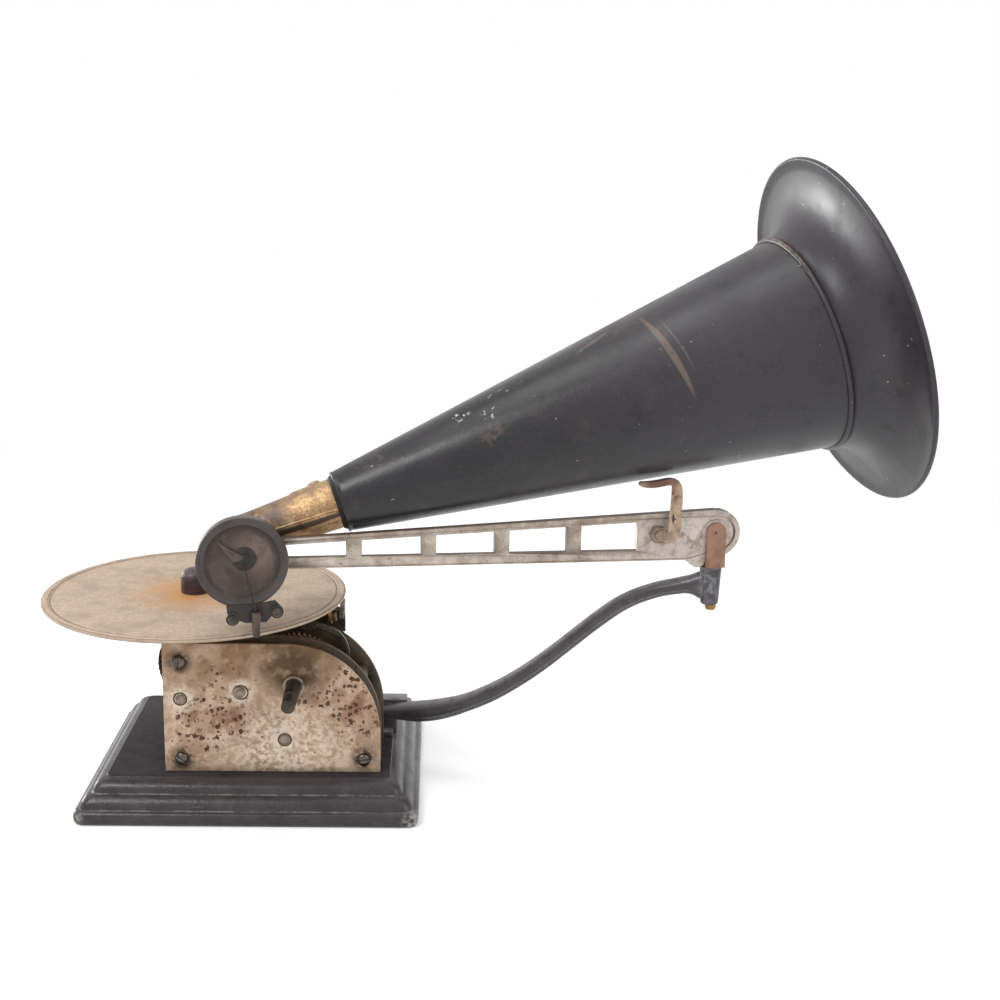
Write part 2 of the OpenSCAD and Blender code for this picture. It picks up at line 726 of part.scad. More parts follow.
module cross_pin() {
  color("#6e4f3c") at_arm() {
    ycyl(0, -ear_y - ear_t - 0.6, ear_y + ear_t + 0.6, pivot_z, 2.5);
  }
}

// ladder arm: five windows between raised borders, round head, eye behind the sound box
arm_n = 5;
win_pitch = (arm_length - 61) / arm_n - 0.2;
win_x1 = -46.3;
win_bar = 8.4;
heel_z = clevis_z + clevis_t + gap;
function arm_top(x) = pivot_z + 13.9 + x * 0.0245;
function arm_bot(x) = pivot_z - 15.4 - x * 0.0222;
module arm_side() {
  xl = -arm_length + 4;
  union() {
    polygon([[xl, box_z + 8.8], [xl, arm_bot(xl)], [-12, arm_bot(-12)], [0, pivot_z - 13.6], [0, pivot_z + 13.9]]);
    translate([1, pivot_z]) circle(r = 13.7, $fn = 64);
    translate([-arm_length, box_z]) circle(r = 10.5);
    polygon([[-19, arm_bot(-19) + 1], [-16.4, arm_bot(-16) - 1], [-13, heel_z + 0.9], [-11, heel_z],
      [-8.4, heel_z], [-6.4, heel_z + 1.4], [-4, arm_bot(-8) + 3]]);
  }
}

module arm_windows(grow) {
  for (i = [0 : arm_n - 1]) let (x1 = win_x1 - i * win_pitch, x0 = x1 - win_pitch + win_bar)
    polygon([[x0 - grow, arm_bot(x0) + 6 - grow], [x1 + grow, arm_bot(x1) + 6 - grow],
      [x1 + grow, arm_top(x1) - 4.6 + grow], [x0 - grow, arm_top(x0) - 4.6 + grow]]);
}

module ladder_arm() {
  color("#b9b2a6") at_arm() difference() {
    union() {
      yplate(-arm_t / 2 + 0.6, arm_t / 2 - 0.6) difference() {
        arm_side();
        arm_windows(0);
      }
      yplate(-arm_t / 2, arm_t / 2) difference() {
        arm_side();
        arm_windows(1.2);
        polygon([[-arm_length + 14, arm_bot(-250) + 0.8], [-16, arm_bot(-14) + 0.8], [0, pivot_z - 10.4],
          [0, pivot_z + 10.5], [-14, arm_top(-14) - 3.2], [-arm_length + 14, arm_top(-250) - 2.4]]);
        translate([1, pivot_z]) circle(r = 10.3, $fn = 48);
      }
      ycyl(0, -arm_t / 2, arm_t / 2, pivot_z, 8);
    }
    ycyl(0, -arm_t, arm_t, pivot_z, 2.5 + run);
    ycyl(-arm_length, -arm_t, arm_t, box_z, 6.5);
    ycyl(hook_x, -arm_t, arm_t, hook_z, stud_r);
  }
}

// stud with its nuts that holds the hook on the arm
hook_y0 = -arm_t / 2 - 6.6;
hook_t = 1.8;
hook_z = pivot_z + 1.9;
stud_r = 2.5;
module hook_bolt() {
  color("#4a4745") at_arm() {
    ycyl(hook_x, hook_y0 - 1.6, arm_t / 2 + 2.6, hook_z, stud_r);
    ycyl(hook_x, hook_y0 - 1.6, hook_y0, hook_z, 3.4);
    ycyl(hook_x, hook_y0 + hook_t, -arm_t / 2, hook_z - 0.6, 5.2, $fn = 6);
    ycyl(hook_x, arm_t / 2, arm_t / 2 + 2.4, hook_z, 4.6, $fn = 6);
  }
}

// bent strip: round foot on the stud, upright at its right, top bar lying along and under the horn
strip_x0 = hook_x + 4.8;
strip_x1 = hook_x + 12;
bar_y = hook_y0 + 0.6;
bar_w = 6.4;
bar_len = 26;
bar_lean = 9;
function horn_at(x) = horn_r0 + (cone_r - horn_r0) * (x - horn_x) / cos(horn_el) / cone_len;
function horn_under(x, y) = horn_z + (x - horn_x) * tan(horn_el)
  - sqrt(pow(horn_at(x), 2) - pow(horn_y - y, 2)) / cos(horn_el);
hook_zt = horn_under(strip_x1, bar_y + bar_w / 2) - 0.8;
module horn_hook() {
  color("#9b7763") at_arm() {
    difference() {
      yplate(hook_y0, hook_y0 + hook_t) union() {
        translate([hook_x, hook_z]) circle(r = 5.6);
        polygon([[hook_x, hook_z - 5.6], [hook_x + 8, hook_z - 4.4], [strip_x1 - 1, hook_z - 1], [strip_x1, hook_z + 4],
          [strip_x1, hook_zt - 2], [strip_x1 - 1.4, hook_zt - 0.6], [strip_x0, hook_zt - 0.8], [strip_x0, hook_z + 12],
          [hook_x, hook_z + 5]]);
      }
      ycyl(hook_x, hook_y0 - 1, hook_y0 + hook_t + 1, hook_z, stud_r);
    }
    translate([strip_x1 - 1.2, bar_y, hook_zt - 0.4]) rotate([0, bar_lean, 178]) translate([0, -bar_w, -hook_t])
      cube([bar_len, bar_w, hook_t]);
  }
}

// brass neck between sound box and horn: closed round end, taper, and a spigot inside the horn's small end
neck_len = 56;
neck_r0 = 11.3;
neck_r1 = 14.4;
neck_wall = 2;
spigot_r = horn_r0 - horn_t - 0.4;
spigot_len = 14;
module round_end(r) {
  rotate_extrude() polygon(concat(
    [for (a = [0 : 15 : 90]) [r * sin(a), -neck_len - r * cos(a)]],
    [[r + neck_r1 - neck_r0, -2], [0, -2]]));
}

module brass_neck() {
  color("#b08b4f") difference() {
    union() {
      at_horn() round_end(neck_r0);
      at_horn() translate([0, 0, -2]) cylinder(h = spigot_len + 2, r = spigot_r);
      at_arm() ycyl(-arm_length, box_y1 + gap, horn_y + 3, box_z, 6.5);
      at_arm() ycyl(-arm_length, box_y1 - 2, horn_y, box_z, 4.2);
      at_arm() ycyl(-arm_length, arm_t / 2, arm_t / 2 + 3, box_z, 8.5);
    }
    at_horn() round_end(neck_r0 - neck_wall);
    at_horn() translate([0, 0, -3]) cylinder(h = spigot_len + 4, r = neck_r1 - neck_wall);
    at_arm() ycyl(-arm_length, box_y1 - 3, horn_y, box_z, 3);
  }
}

// horn: straight cone and a bell that turns out from a bead at the seam
module horn_cone() {
  r0 = horn_r0;
  r1 = cone_r;
  t = horn_t;
  color("#2f2d30") at_horn() rotate_extrude($fn = 72)
    polygon([[r0, 0], [r1, cone_len], [r1 - t, cone_len], [r0 - t, 0]]);
}

module horn_bell() {
  t = horn_t;
  steps = 8;
  p1 = [cone_r + 7, bell_len - 1.8];
  e = bell_r - 1.6;
  function bez(u, d) = [
    pow(1 - u, 2) * cone_r + 2 * u * (1 - u) * p1[0] + u * u * e,
    2 * u * (1 - u) * p1[1] + u * u * bell_len] + d * [-0.7 * (1 - u), 0.7 + 0.3 * u];
  color("#2f2d30") at_horn() translate([0, 0, cone_len]) {
    rotate_extrude($fn = 72) polygon(concat(
      [[cone_r - 0.1, -4], [cone_r + 1.5, -2.8], [cone_r + 1.5, -0.8]],
      [for (i = [1 : steps]) bez(i / steps, 0)],
      [for (i = [steps : -1 : 1]) bez(i / steps, t)],
      [[cone_r - t, 0.3], [cone_r + 0.3, 0.3], [cone_r + 0.3, -3.4]]));
    translate([0, 0, bell_len + 0.3]) rotate_extrude($fn = 72) translate([bell_r - 1.6, 0]) circle(r = 1.6, $fn = 16);
  }
}

// sound box: cup, front ring, rubber rings, diaphragm, stylus bar on a lower bracket
cup_y0 = box_y0 + 1.6;
open_r = box_r - 2.6;
dia_y = box_y0 + 3.7;
module soundbox_cup() {
  color("#4d4743") at_box() difference() {
    ycyl(0, cup_y0, box_y1, 0, box_r - 0.5, $fn = 64);
    ycyl(0, cup_y0 - 1, box_y1 - 2, 0, open_r, $fn = 64);
    ycyl(0, box_y1 - 4, box_y1 + 1, 0, 4.2 + run);
  }
}

module soundbox_ring() {
  color("#4d4743") at_box() translate([0, cup_y0, 0]) rotate([90, 0, 0]) rotate_extrude($fn = 64)
    polygon([[open_r - 0.6, 0], [box_r, 0], [box_r, 1], [box_r - 0.6, 1.6], [open_r + 0.3, 1.6], [open_r - 0.6, 1]]);
}

module rubber_rings() {
  color("#2a2523") at_box() for (y = [dia_y - 0.9, dia_y + 0.3 + 0.9]) translate([0, y, 0]) rotate([90, 0, 0])
    rotate_extrude($fn = 48) translate([open_r - 1, 0]) circle(r = 0.9, $fn = 16);
}

module diaphragm() {
  color("#57504a") at_box() ycyl(0, dia_y, dia_y + 0.3, 0, open_r - 0.4, $fn = 64);
}

module diaphragm_washer() {
  color("#3b3633") at_box() {
    ycyl(0, dia_y - 0.7, dia_y, 0, 6);
    ycyl(0, dia_y - 1.6, dia_y - 0.7, 0, 3.2);
  }
}

// pointed vane from the centre to the upper left
module diaphragm_vane() {
  color("#6a625b") at_box() yplate(dia_y - 2.4, dia_y - 1.6)
    polygon([[-12.7, 14.3], [-11.8, 14.6], [3, 2.2], [1.8, -1.8], [-3.6, -0.8]]);
}

bar_top = [0.9, dia_y - 3.4, -1];
chuck_y = box_y0 - 4.3;
bar_end = [6.3, chuck_y, -25.3];
module stylus_bar() {
  d = bar_end - bar_top;
  len = norm(d);
  color("#7d746b") at_box() {
    ycyl(0.9, dia_y - 4.4, dia_y - 2.4, -0.6, 2);
    translate(bar_top) rotate([0, acos(d[2] / len), atan2(d[1], d[0])]) cylinder(h = len, r = 0.9, $fn = 24);
  }
}

chuck_x = 6.5;
chuck_z0 = -40;
needle_r = 0.8;
module needle_chuck() {
  color("#3b3633") at_box() translate([chuck_x, chuck_y, chuck_z0]) difference() {
    cylinder(h = 14, r1 = 1.9, r2 = 2.8);
    translate([0, 0, -1]) cylinder(h = 9, r = needle_r, $fn = 24);
  }
}

lobe_xz = [[-5.8, -30], [17.7, -27]];
module pivot_bracket() {
  color("#2c2a2a") at_box() difference() {
    union() {
      for (p = lobe_xz) ycyl(p[0], box_y0 - 3, box_y0, p[1], 3.6, $fn = 32);
      yplate(box_y0 - 1.2, box_y0)
      polygon([[-9, -23], [-8.6, -28], [-5.8, -30], [1, -33], [12, -33], [17.7, -27], [20.5, -25], [17, -21],
        [9, -22.4], [-1, -22.6]]);
    }
    ycyl(0, box_y0 - 6, box_y0 + 1, 0, open_r - 0.4);
    for (p = lobe_xz) ycyl(p[0], box_y0 - 4, box_y0 + 1, p[1], 1.3, $fn = 24);
  }
}

module bracket_screws() {
  color("#5c5148") at_box() for (p = lobe_xz) {
    ycyl(p[0], box_y0 - 4.4, box_y0 - 3, p[1], 2.5, $fn = 32);
    ycyl(p[0], box_y0 - 4, box_y0, p[1], 1.3, $fn = 24);
  }
}

base_casting();
base_bolts();
plate_front();
plate_middle();
plate_rear();
front_pillars();
rear_pillars();
foot_bars();
plate_screws();
bushes();
top_bridge();
step_bearing();
step_screws();
governor_bracket();
s_arm();
click_spring();
lever_stud();
winding_arbor();
ratchet_wheel();
pawl();
spring_barrel();
great_wheel();
mainspring();
second_arbor();
second_wheel();
crown_arbor();
crown_wheel();
spindle();
spindle_pinion();
worm_wheel();
turntable();
turntable_hub();
record_clamp();
governor_shaft();
governor_worm();
governor_disc();
governor_weights();
governor_springs();
speed_lever();
brake_pad();
clevis();
swivel_stud();
cross_pin();
ladder_arm();
hook_bolt();
horn_hook();
brass_neck();
horn_cone();
horn_bell();
soundbox_cup();
soundbox_ring();
rubber_rings();
diaphragm();
diaphragm_washer();
diaphragm_vane();
stylus_bar();
needle_chuck();
pivot_bracket();
bracket_screws();
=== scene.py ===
# %% [markdown]
# A small open-works disc gramophone of about 1905. The engineering model is loaded first and stays as it
# is. Each step below dresses one part of it: it either lays a finer mesh over a solid or softens the
# solid's own edges, and gives it the finish of the real metal, enamel, leather or rubber.

# %% Load the model
import bmesh
import bpy
import json
import math
from mathutils import Matrix, Vector

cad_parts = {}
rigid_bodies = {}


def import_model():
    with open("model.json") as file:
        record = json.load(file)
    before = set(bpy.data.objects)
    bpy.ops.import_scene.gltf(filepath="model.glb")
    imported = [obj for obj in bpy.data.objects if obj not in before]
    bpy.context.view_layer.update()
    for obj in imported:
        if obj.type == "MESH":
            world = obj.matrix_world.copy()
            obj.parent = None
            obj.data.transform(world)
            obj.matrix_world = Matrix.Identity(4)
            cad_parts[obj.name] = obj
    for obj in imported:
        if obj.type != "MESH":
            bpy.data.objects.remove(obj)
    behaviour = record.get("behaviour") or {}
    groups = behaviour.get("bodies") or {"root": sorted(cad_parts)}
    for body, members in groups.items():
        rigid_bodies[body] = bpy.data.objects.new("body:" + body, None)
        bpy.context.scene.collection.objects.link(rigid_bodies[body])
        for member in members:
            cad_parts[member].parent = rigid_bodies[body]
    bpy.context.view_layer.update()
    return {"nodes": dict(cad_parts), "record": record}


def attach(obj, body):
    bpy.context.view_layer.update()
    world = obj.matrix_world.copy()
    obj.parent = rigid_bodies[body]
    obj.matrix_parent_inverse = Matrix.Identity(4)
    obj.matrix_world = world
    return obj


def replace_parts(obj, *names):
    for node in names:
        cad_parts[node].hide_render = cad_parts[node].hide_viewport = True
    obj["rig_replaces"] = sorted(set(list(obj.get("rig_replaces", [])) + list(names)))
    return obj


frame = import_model()
nodes = frame["nodes"]
body_of_node = {n: b for b, members in frame["record"]["behaviour"]["bodies"].items() for n in members}
slot_of_node = {s["node"]: s["material_slot"] for s in frame["record"]["subparts"]}

# %% [markdown]
# Lengths are written in millimetres, as on a workshop drawing, and turned to metres at the end of each
# piece. A few places are used again and again: the swinging arm, the sound box, the horn, the turntable and
# the foot of the carrying arm. A matrix holds each one, so that a piece can be drawn flat and upright and
# then set in its place. Lathe work is drawn round Z, and most of it points at the viewer here, so one
# helper turns it that way. The last table gives each riveted stud's place on the front plate, and the
# radius of the ring of dirt round it.

# %% Places
MM = Matrix.Scale(0.001, 4)
ARM = Matrix.Translation((268.8, -52.5, 0)) @ Matrix.Rotation(math.radians(10.5), 4, "Z")
BOX = ARM @ Matrix.Translation((-269, 0, 169.1))
HORN = ARM @ Matrix.Translation((-213.7, 16.9, 193.1)) @ Matrix.Rotation(math.radians(90 - 17.45), 4, "Y")
TABLE = Matrix.Translation((-33, -32, 127.8))
ROOT = Matrix.Translation((84, 2.1, 0)) @ Matrix.Rotation(math.radians(-16.46), 4, "Z")
TO_FRONT = Matrix.Rotation(math.radians(90), 4, "X")
PIN_HEIGHT = 171.5
PLATE_FACE = -57.0
RIVETED = {(-39.6, 69.3): 3.75, (-4, 73.7): 4.2, (21.3, 44.4): 3.75}

def towards_viewer(place, x, y, z):
    return place @ Matrix.Translation((x, y, z)) @ TO_FRONT

print("sound box at", [round(v, 1) for v in BOX.translation])

# %% [markdown]
# A colour is picked as a hex value, as a paint chart gives it. Blender mixes light in linear
# numbers, so one function turns the hex value to linear.

# %% Colour
def paint(chip):
    parts = [int(chip[i:i + 2], 16) / 255 for i in (1, 3, 5)]
    return [p / 12.92 if p <= 0.04045 else ((p + 0.055) / 1.055) ** 2.4 for p in parts] + [1.0]

print("nickel is", [round(v, 3) for v in paint("#b9a694")[:3]])

# %% [markdown]
# Every finish is a small tree of nodes. This one function adds a node, sets it up, and links or fills its
# sockets. It returns the node's first working output, ready for the next link. Most masks below fade
# softly, so the setting for that is kept too.

# %% Adding a node
SOFT = {"interpolation_type": "SMOOTHSTEP"}

def put(tree, kind, settings=None, sockets=None):
    made = tree.nodes.new(kind)
    for name, value in (settings or {}).items():
        setattr(made, name, value)
    for name, value in (sockets or {}).items():
        if isinstance(value, bpy.types.NodeSocket):
            tree.links.new(value, made.inputs[name])
        else:
            made.inputs[name].default_value = value
    return next((o for o in made.outputs if o.enabled), None)

# %% [markdown]
# Dirt and wear need a mask that says where they lie. A photograph could be laid over the piece, but it
# would fit from one side only, so each mask is worked out in the piece's own coordinates, and is right from
# all sides. The first three kinds are stains. Patches are clouds of a real size in millimetres, with a soft
# or a crisp edge. Dots are single pits, made ragged by a finer cloud, of which only a share is kept, so
# that they lie as unevenly as real rust does. A spot is a stain of known place and size, round, long or
# tilted.

# %% Clouds, pits and stains
class Stains:
    def patches(self, size, low, high, detail=6.0, rough=0.6, at=None):
        cloud = put(self.tree, "ShaderNodeTexNoise", None, {
            "Vector": at or self.where, "Scale": 1000 / size, "Detail": detail, "Roughness": rough})
        return put(self.tree, "ShaderNodeMapRange", SOFT, {"Value": cloud, "From Min": low, "From Max": high})

    def dots(self, spacing, size, share):
        wobble = put(self.tree, "ShaderNodeTexNoise", None, {
            "Vector": self.where, "Scale": 2200 / spacing, "Detail": 4.0})
        moved = put(self.tree, "ShaderNodeVectorMath", {"operation": "MULTIPLY_ADD"}, {
            0: wobble.node.outputs["Color"], 1: [1.1 * spacing / 1000] * 3, 2: self.where})
        cell = put(self.tree, "ShaderNodeTexVoronoi", None, {"Vector": moved, "Scale": 1000 / spacing})
        chance = put(self.tree, "ShaderNodeSeparateColor", None, {"Color": cell.node.outputs["Color"]})
        wide = put(self.tree, "ShaderNodeMath", {"operation": "MULTIPLY"}, {
            0: chance.node.outputs["Green"], 1: 1.6 * size / spacing})
        inside = put(self.tree, "ShaderNodeMath", {"operation": "SUBTRACT"}, {0: wide, 1: cell})
        near = put(self.tree, "ShaderNodeMapRange", SOFT, {
            "Value": inside, "From Min": -0.1 * size / spacing, "From Max": 0.2 * size / spacing})
        kept = put(self.tree, "ShaderNodeMath", {"operation": "LESS_THAN"}, {0: chance, 1: share})
        return put(self.tree, "ShaderNodeMath", {"operation": "MULTIPLY"}, {0: near, 1: kept})

    def spot(self, centre, radius, tilt=(0, 0, 0), at=None):
        moved = put(self.tree, "ShaderNodeMapping", {"vector_type": "TEXTURE"}, {
            "Vector": at or self.where, "Location": [c / 1000 for c in centre],
            "Scale": [r / 1000 for r in radius], "Rotation": [math.radians(t) for t in tilt]})
        return put(self.tree, "ShaderNodeTexGradient", {"gradient_type": "SPHERICAL"}, {"Vector": moved})

print("masks:", ", ".join(kind for kind in vars(Stains) if not kind.startswith("_")))

# %% [markdown]
# Three more kinds follow the shape. A band marks where a distance is close to a given value, such as a
# groove. A worn edge is found where the corners bend, and faces that look up are found from their own
# direction, for the dirt that settles there and for a painted highlight on the top of the carrying arm. Two
# more functions give a point in a place's own frame, and how far it is from the axis there.

# %% Bands, edges and places
class Traces:
    def band(self, distance, middle, half, soft):
        off = put(self.tree, "ShaderNodeMath", {"operation": "SUBTRACT"}, {0: distance, 1: middle / 1000})
        off = put(self.tree, "ShaderNodeMath", {"operation": "ABSOLUTE"}, {0: off})
        return put(self.tree, "ShaderNodeMapRange", SOFT, {
            "Value": off, "From Min": (half + soft) / 1000, "From Max": half / 1000})

    def worn_edge(self, width, low=0.05, high=0.35):
        bent = put(self.tree, "ShaderNodeBevel", {"samples": 4}, {"Radius": width / 1000})
        flat = put(self.tree, "ShaderNodeNewGeometry").node.outputs["Normal"]
        same = put(self.tree, "ShaderNodeVectorMath", {"operation": "DOT_PRODUCT"}, {0: bent, 1: flat})
        return put(self.tree, "ShaderNodeMapRange", None, {
            "Value": same.node.outputs["Value"], "From Min": 1 - low, "From Max": 1 - high})

    def facing_up(self, low=0.55):
        normal = self.where.node.outputs["Normal"]
        up = put(self.tree, "ShaderNodeSeparateXYZ", None, {"Vector": normal}).node.outputs["Z"]
        return put(self.tree, "ShaderNodeMapRange", SOFT, {"Value": up, "From Min": low, "From Max": 0.9})

    def local(self, place):
        back = place.inverted()
        return put(self.tree, "ShaderNodeMapping", {"vector_type": "POINT"}, {
            "Vector": self.where, "Location": [v / 1000 for v in back.translation],
            "Rotation": back.to_euler("XYZ")})

    def from_axis(self, place):
        flat = put(self.tree, "ShaderNodeVectorMath", {"operation": "MULTIPLY"}, {
            0: self.local(place), 1: (1, 1, 0)})
        return put(self.tree, "ShaderNodeVectorMath", {"operation": "LENGTH"}, {0: flat}).node.outputs["Value"]

print("masks:", ", ".join(kind for kind in vars(Traces) if not kind.startswith("_")))

# %% [markdown]
# A finish starts with one ground colour and a surface shader. It is built up as a restorer sees it: coat
# over coat of stain, rust, dust and wear. Each coat has a colour and one or more masks, and its share says
# how strongly it covers there. A share above one makes a faint mask count for more. The last step sets how
# the surface takes light: how metallic, rough and glossy it is, and how deep its grain goes, in
# millimetres. Bare metal would be fully metallic and enamel not at all: the values start there, and those
# of the metals come down with their tarnish. Below, f is the finish in hand.

# %% Coats of a finish
class Finish(Stains, Traces):
    def __init__(self, name, ground):
        self.material = bpy.data.materials.new(name)
        self.material.use_nodes = True
        self.tree = self.material.node_tree
        self.where = put(self.tree, "ShaderNodeTexCoord").node.outputs["Object"]
        self.colour = paint(ground)

    def coat(self, chip, *masks, share=1.0):
        mask = share
        for one in masks:
            mask = put(self.tree, "ShaderNodeMath", {"operation": "MULTIPLY", "use_clamp": True}, {0: one, 1: mask})
        self.colour = put(self.tree, "ShaderNodeMix", {"data_type": "RGBA"}, {
            0: mask, 6: self.colour, 7: paint(chip)})

    def closed(self, metallic, rough, grain, depth, gloss=0.5):
        shader = self.tree.nodes["Principled BSDF"]
        for name, value in (("Base Color", self.colour), ("Metallic", metallic), ("Roughness", rough),
                            ("Specular IOR Level", gloss)):
            if isinstance(value, bpy.types.NodeSocket):
                self.tree.links.new(value, shader.inputs[name])
            else:
                shader.inputs[name].default_value = value
        bump = put(self.tree, "ShaderNodeBump", None, {
            "Height": grain, "Strength": 0.6, "Distance": depth / 1000})
        self.tree.links.new(bump, shader.inputs["Normal"])
        return self.material

# %% [markdown]
# Aged metal is the same story for most small parts: a ground colour, broad darker areas where hands and oil
# have been, small rust freckles, and edges rubbed brighter. One function tells it, and only the colours,
# sizes and gloss change from part to part. The freckles are duller than the metal round them, so that they
# read as rust and not as paint. A few parts also have marks of their own, at a known place.

# %% Aged metal
def aged_metal(name, ground, dark, freckle, edge, metallic, rough, area=14, grain=1.6, rust=0.6, edge_share=0.5,
               gloss=0.4, marks=()):
    f = Finish(name, ground)
    f.coat(dark, f.patches(area, 0.42, 0.68))
    small = f.patches(grain * 3, rust, rust + 0.07, 8, 0.7)
    f.coat(freckle, small)
    f.coat(edge, f.worn_edge(0.5), f.patches(5, 0.35, 0.6), share=edge_share)
    for centre, radius, chip, share in marks:
        f.coat(chip, f.spot(centre, radius), share=share)
    dull = put(f.tree, "ShaderNodeMapRange", None,
               {"Value": small, "To Min": rough, "To Max": min(0.9, rough + 0.3)})
    return f.closed(metallic, dull, f.patches(grain, 0.3, 0.7), 0.12, gloss)

finishes = {
    "stained_steel": aged_metal("browned_bare_steel", "#6f5f4f", "#4a3f34", "#38271b", "#a8977f", 0.6, 0.45),
    "dark_steel": aged_metal("dark_browned_steel", "#574c45", "#38312c", "#2f2018", "#a3978b", 0.65, 0.34),
    "spring_steel": aged_metal("blue_grey_spring_steel", "#6c6460", "#463f3b", "#40301f", "#b9b3ac", 0.8, 0.3),
    "brass": aged_metal("dull_yellow_brass", "#94733f", "#66502f", "#433020", "#c9a867", 0.8, 0.4),
    "dark_wheel": aged_metal("dark_cast_iron", "#40372e", "#2b2520", "#221a14", "#75675a", 0.35, 0.55),
    "rusty_strip": aged_metal("rust_brown_clevis_steel", "#9b7866", "#836250", "#664638", "#c4a691", 0.2, 0.62,
                              area=9, rust=0.66, gloss=0.3,
                              marks=[((269.0, -57.4, 172.4), (1.0, 2, 1.2), "#5a3d31", 2)]),
    "hook_metal": aged_metal("brown_bare_hook_iron", "#b39c86", "#8a7160", "#5b4336", "#d6c3ae", 0.25, 0.5, area=6,
                             rust=0.57, gloss=0.35, edge_share=0.8, marks=[
                                 (ARM @ Vector((-38, -7.4, 203.4)), (15, 8, 8), "#6f4f41", 1.6),
                                 # This second mark is painted shade, for a dark slit in the strip.
                                 (ARM @ Vector((-28.3, -9.6, 182.9)), (0.8, 4, 3.4), "#3b2b23", 2.5)]),
    "bracket_iron": aged_metal("black_bracket_iron", "#363231", "#292625", "#211d1b", "#6d6662", 0.2, 0.42, area=8,
                               rust=0.66, gloss=0.35),
    "screw_metal": aged_metal("blue_black_screw_steel", "#625c57", "#47413d", "#2a2320", "#d0cbc5", 0.85, 0.18,
                              area=4, edge_share=0.9),
    "rivet_metal": aged_metal("grey_rivet_steel", "#97887a", "#776a5e", "#4a3c32", "#cdbfae", 0.4, 0.4, area=4),
    "bolt_metal": aged_metal("worn_bolt_steel", "#937f70", "#6c5e54", "#47372c", "#c4b2a1", 0.35, 0.45, area=5),
    "clamp_metal": aged_metal("purple_brown_lacquered_steel", "#564a4c", "#3f3638", "#2f2627", "#857677", 0.3, 0.42),
    "back_plate_steel": aged_metal("browned_plate_steel", "#5f5243", "#40372c", "#33261b", "#b9a684", 0.45, 0.5,
                                   area=18, grain=2, rust=0.58, edge_share=0.9),
    "box_plate": aged_metal("dulled_vane_metal", "#594e48", "#463c37", "#332925", "#a3958a", 0.35, 0.5, area=6,
                            rust=0.62),
    "box_metal": aged_metal("dark_lacquered_box_metal", "#4c4542", "#3d3734", "#2d2622", "#8b7f76", 0.2, 0.4,
                            area=18, rust=0.66, gloss=0.35),
    "washer_metal": aged_metal("black_washer_metal", "#37322f", "#2b2725", "#1c1816", "#4f4843", 0.2, 0.5, area=6,
                               rust=0.66, gloss=0.3),
}
print(len(finishes), "aged metals")

# %% [markdown]
# Black stoving enamel on cast iron is satin and a little uneven, because the casting under it is. Its edges
# and the two ledges of the moulding get pale grey lines: partly enamel rubbed through, partly painted
# highlight where they catch the light from above. Dust sits on it as pale specks and hair lines. The hair
# lines are the specks' cloud drawn out along the base. Faces that look up get a lighter grey coat. The level
# top is dulled by dust and mirrors almost nothing of the bright room, so its gloss is taken away there. On
# the arm that lighter coat on top is stronger, a painted highlight of the lamp above, so both share one
# function.

# %% Black enamel on cast iron
BASE_LEDGES, BASE_TOP = (8.8, 16.3), 24.0

def enamelled_iron(name, dark, light, top, top_share, reach, marks):
    f = Finish(name, dark)
    height = put(f.tree, "ShaderNodeSeparateXYZ", None, {"Vector": f.where}).node.outputs["Z"]
    f.coat(light, f.patches(26, 0.4, 0.65))
    f.coat("#474140", f.patches(9, 0.52, 0.72), share=0.45)
    f.coat("#201e20", f.patches(6, 0.54, 0.66, 6), share=0.5)
    # Faces that look up get a lighter coat. On the arm this is a painted highlight of the lamp above.
    f.coat(top, f.facing_up(reach), f.patches(11, 0.2, 0.55), share=top_share)
    f.coat("#827b77", f.patches(2.6, 0.67, 0.72, 8, 0.7), share=0.6)
    along = put(f.tree, "ShaderNodeMapping", {"vector_type": "POINT"},
                {"Vector": f.where, "Scale": (0.12, 1, 1.4)})
    f.coat("#6a6462", f.patches(2.2, 0.66, 0.72, 4, 0.6, at=along), share=0.4)
    # Pale edges: partly rubbed-through enamel, partly a painted highlight where the edges catch the light.
    rubbed = f.worn_edge(0.7, 0.03, 0.25)
    f.coat("#b3adab", rubbed, f.patches(7, 0.34, 0.52), share=0.85)
    smear = put(f.tree, "ShaderNodeMapRange", None,
                {"Value": f.patches(18, 0.35, 0.7), "To Min": 0.22, "To Max": 0.36})
    # Pale lines on the two ledges: partly rubbed enamel, partly a painted highlight of the light from above.
    for ledge in BASE_LEDGES:
        f.coat("#8d8684", f.band(height, ledge, 0.15, 0.35), f.patches(9, 0.4, 0.62), share=0.55)
    for centre, radius, chip in marks:
        f.coat(chip, f.spot(centre, radius), f.patches(4, 0.4, 0.6), share=1.6)
    level = put(f.tree, "ShaderNodeMath", {"operation": "MULTIPLY"},
                {0: f.facing_up(), 1: f.band(height, BASE_TOP, 0.3, 0.1)})
    gloss = put(f.tree, "ShaderNodeMapRange", None, {"Value": level, "To Min": 0.4, "To Max": 0.01})
    return f.closed(0.0, smear, f.patches(1.4, 0.3, 0.7, 3), 0.08, gloss)

finishes["black_iron"] = enamelled_iron("black_enamel_on_cast_iron", "#302c2f", "#3b3739", "#454144", 0.8, 0.55, [
    ((99, -80, 4), (10, 10, 8), "#a09b99"), ((-99, -80, 4), (7, 7, 6), "#8b8684"),
    ((96, -20, 6), (6, 50, 5), "#77726f")])
# On the arm, the lighter top coat #858185 is a painted highlight of the lamp above.
finishes["arm_iron"] = enamelled_iron("black_enamel_on_arm_with_painted_top_highlight", "#3f3c3f", "#4c484b", "#858185", 0.85, 0.2, [
    ((266, -59, 141), (9, 9, 14), "#77767a")])

# %% [markdown]
# The horn is sheet iron under a thinner black lacquer, smooth enough to mirror the room softly. It has
# three old scratches that show brown iron, a little rust at the top of the seam, pale chips near its small
# end, and fine dust all over. These could be painted by hand on an unrolled picture of the horn, but as
# spots with a place and a size they can be moved and resized. The places are measured from the middle of
# the small end: down, away from the viewer, and along the horn. The lacquer is greyer and duller towards
# the wide end.

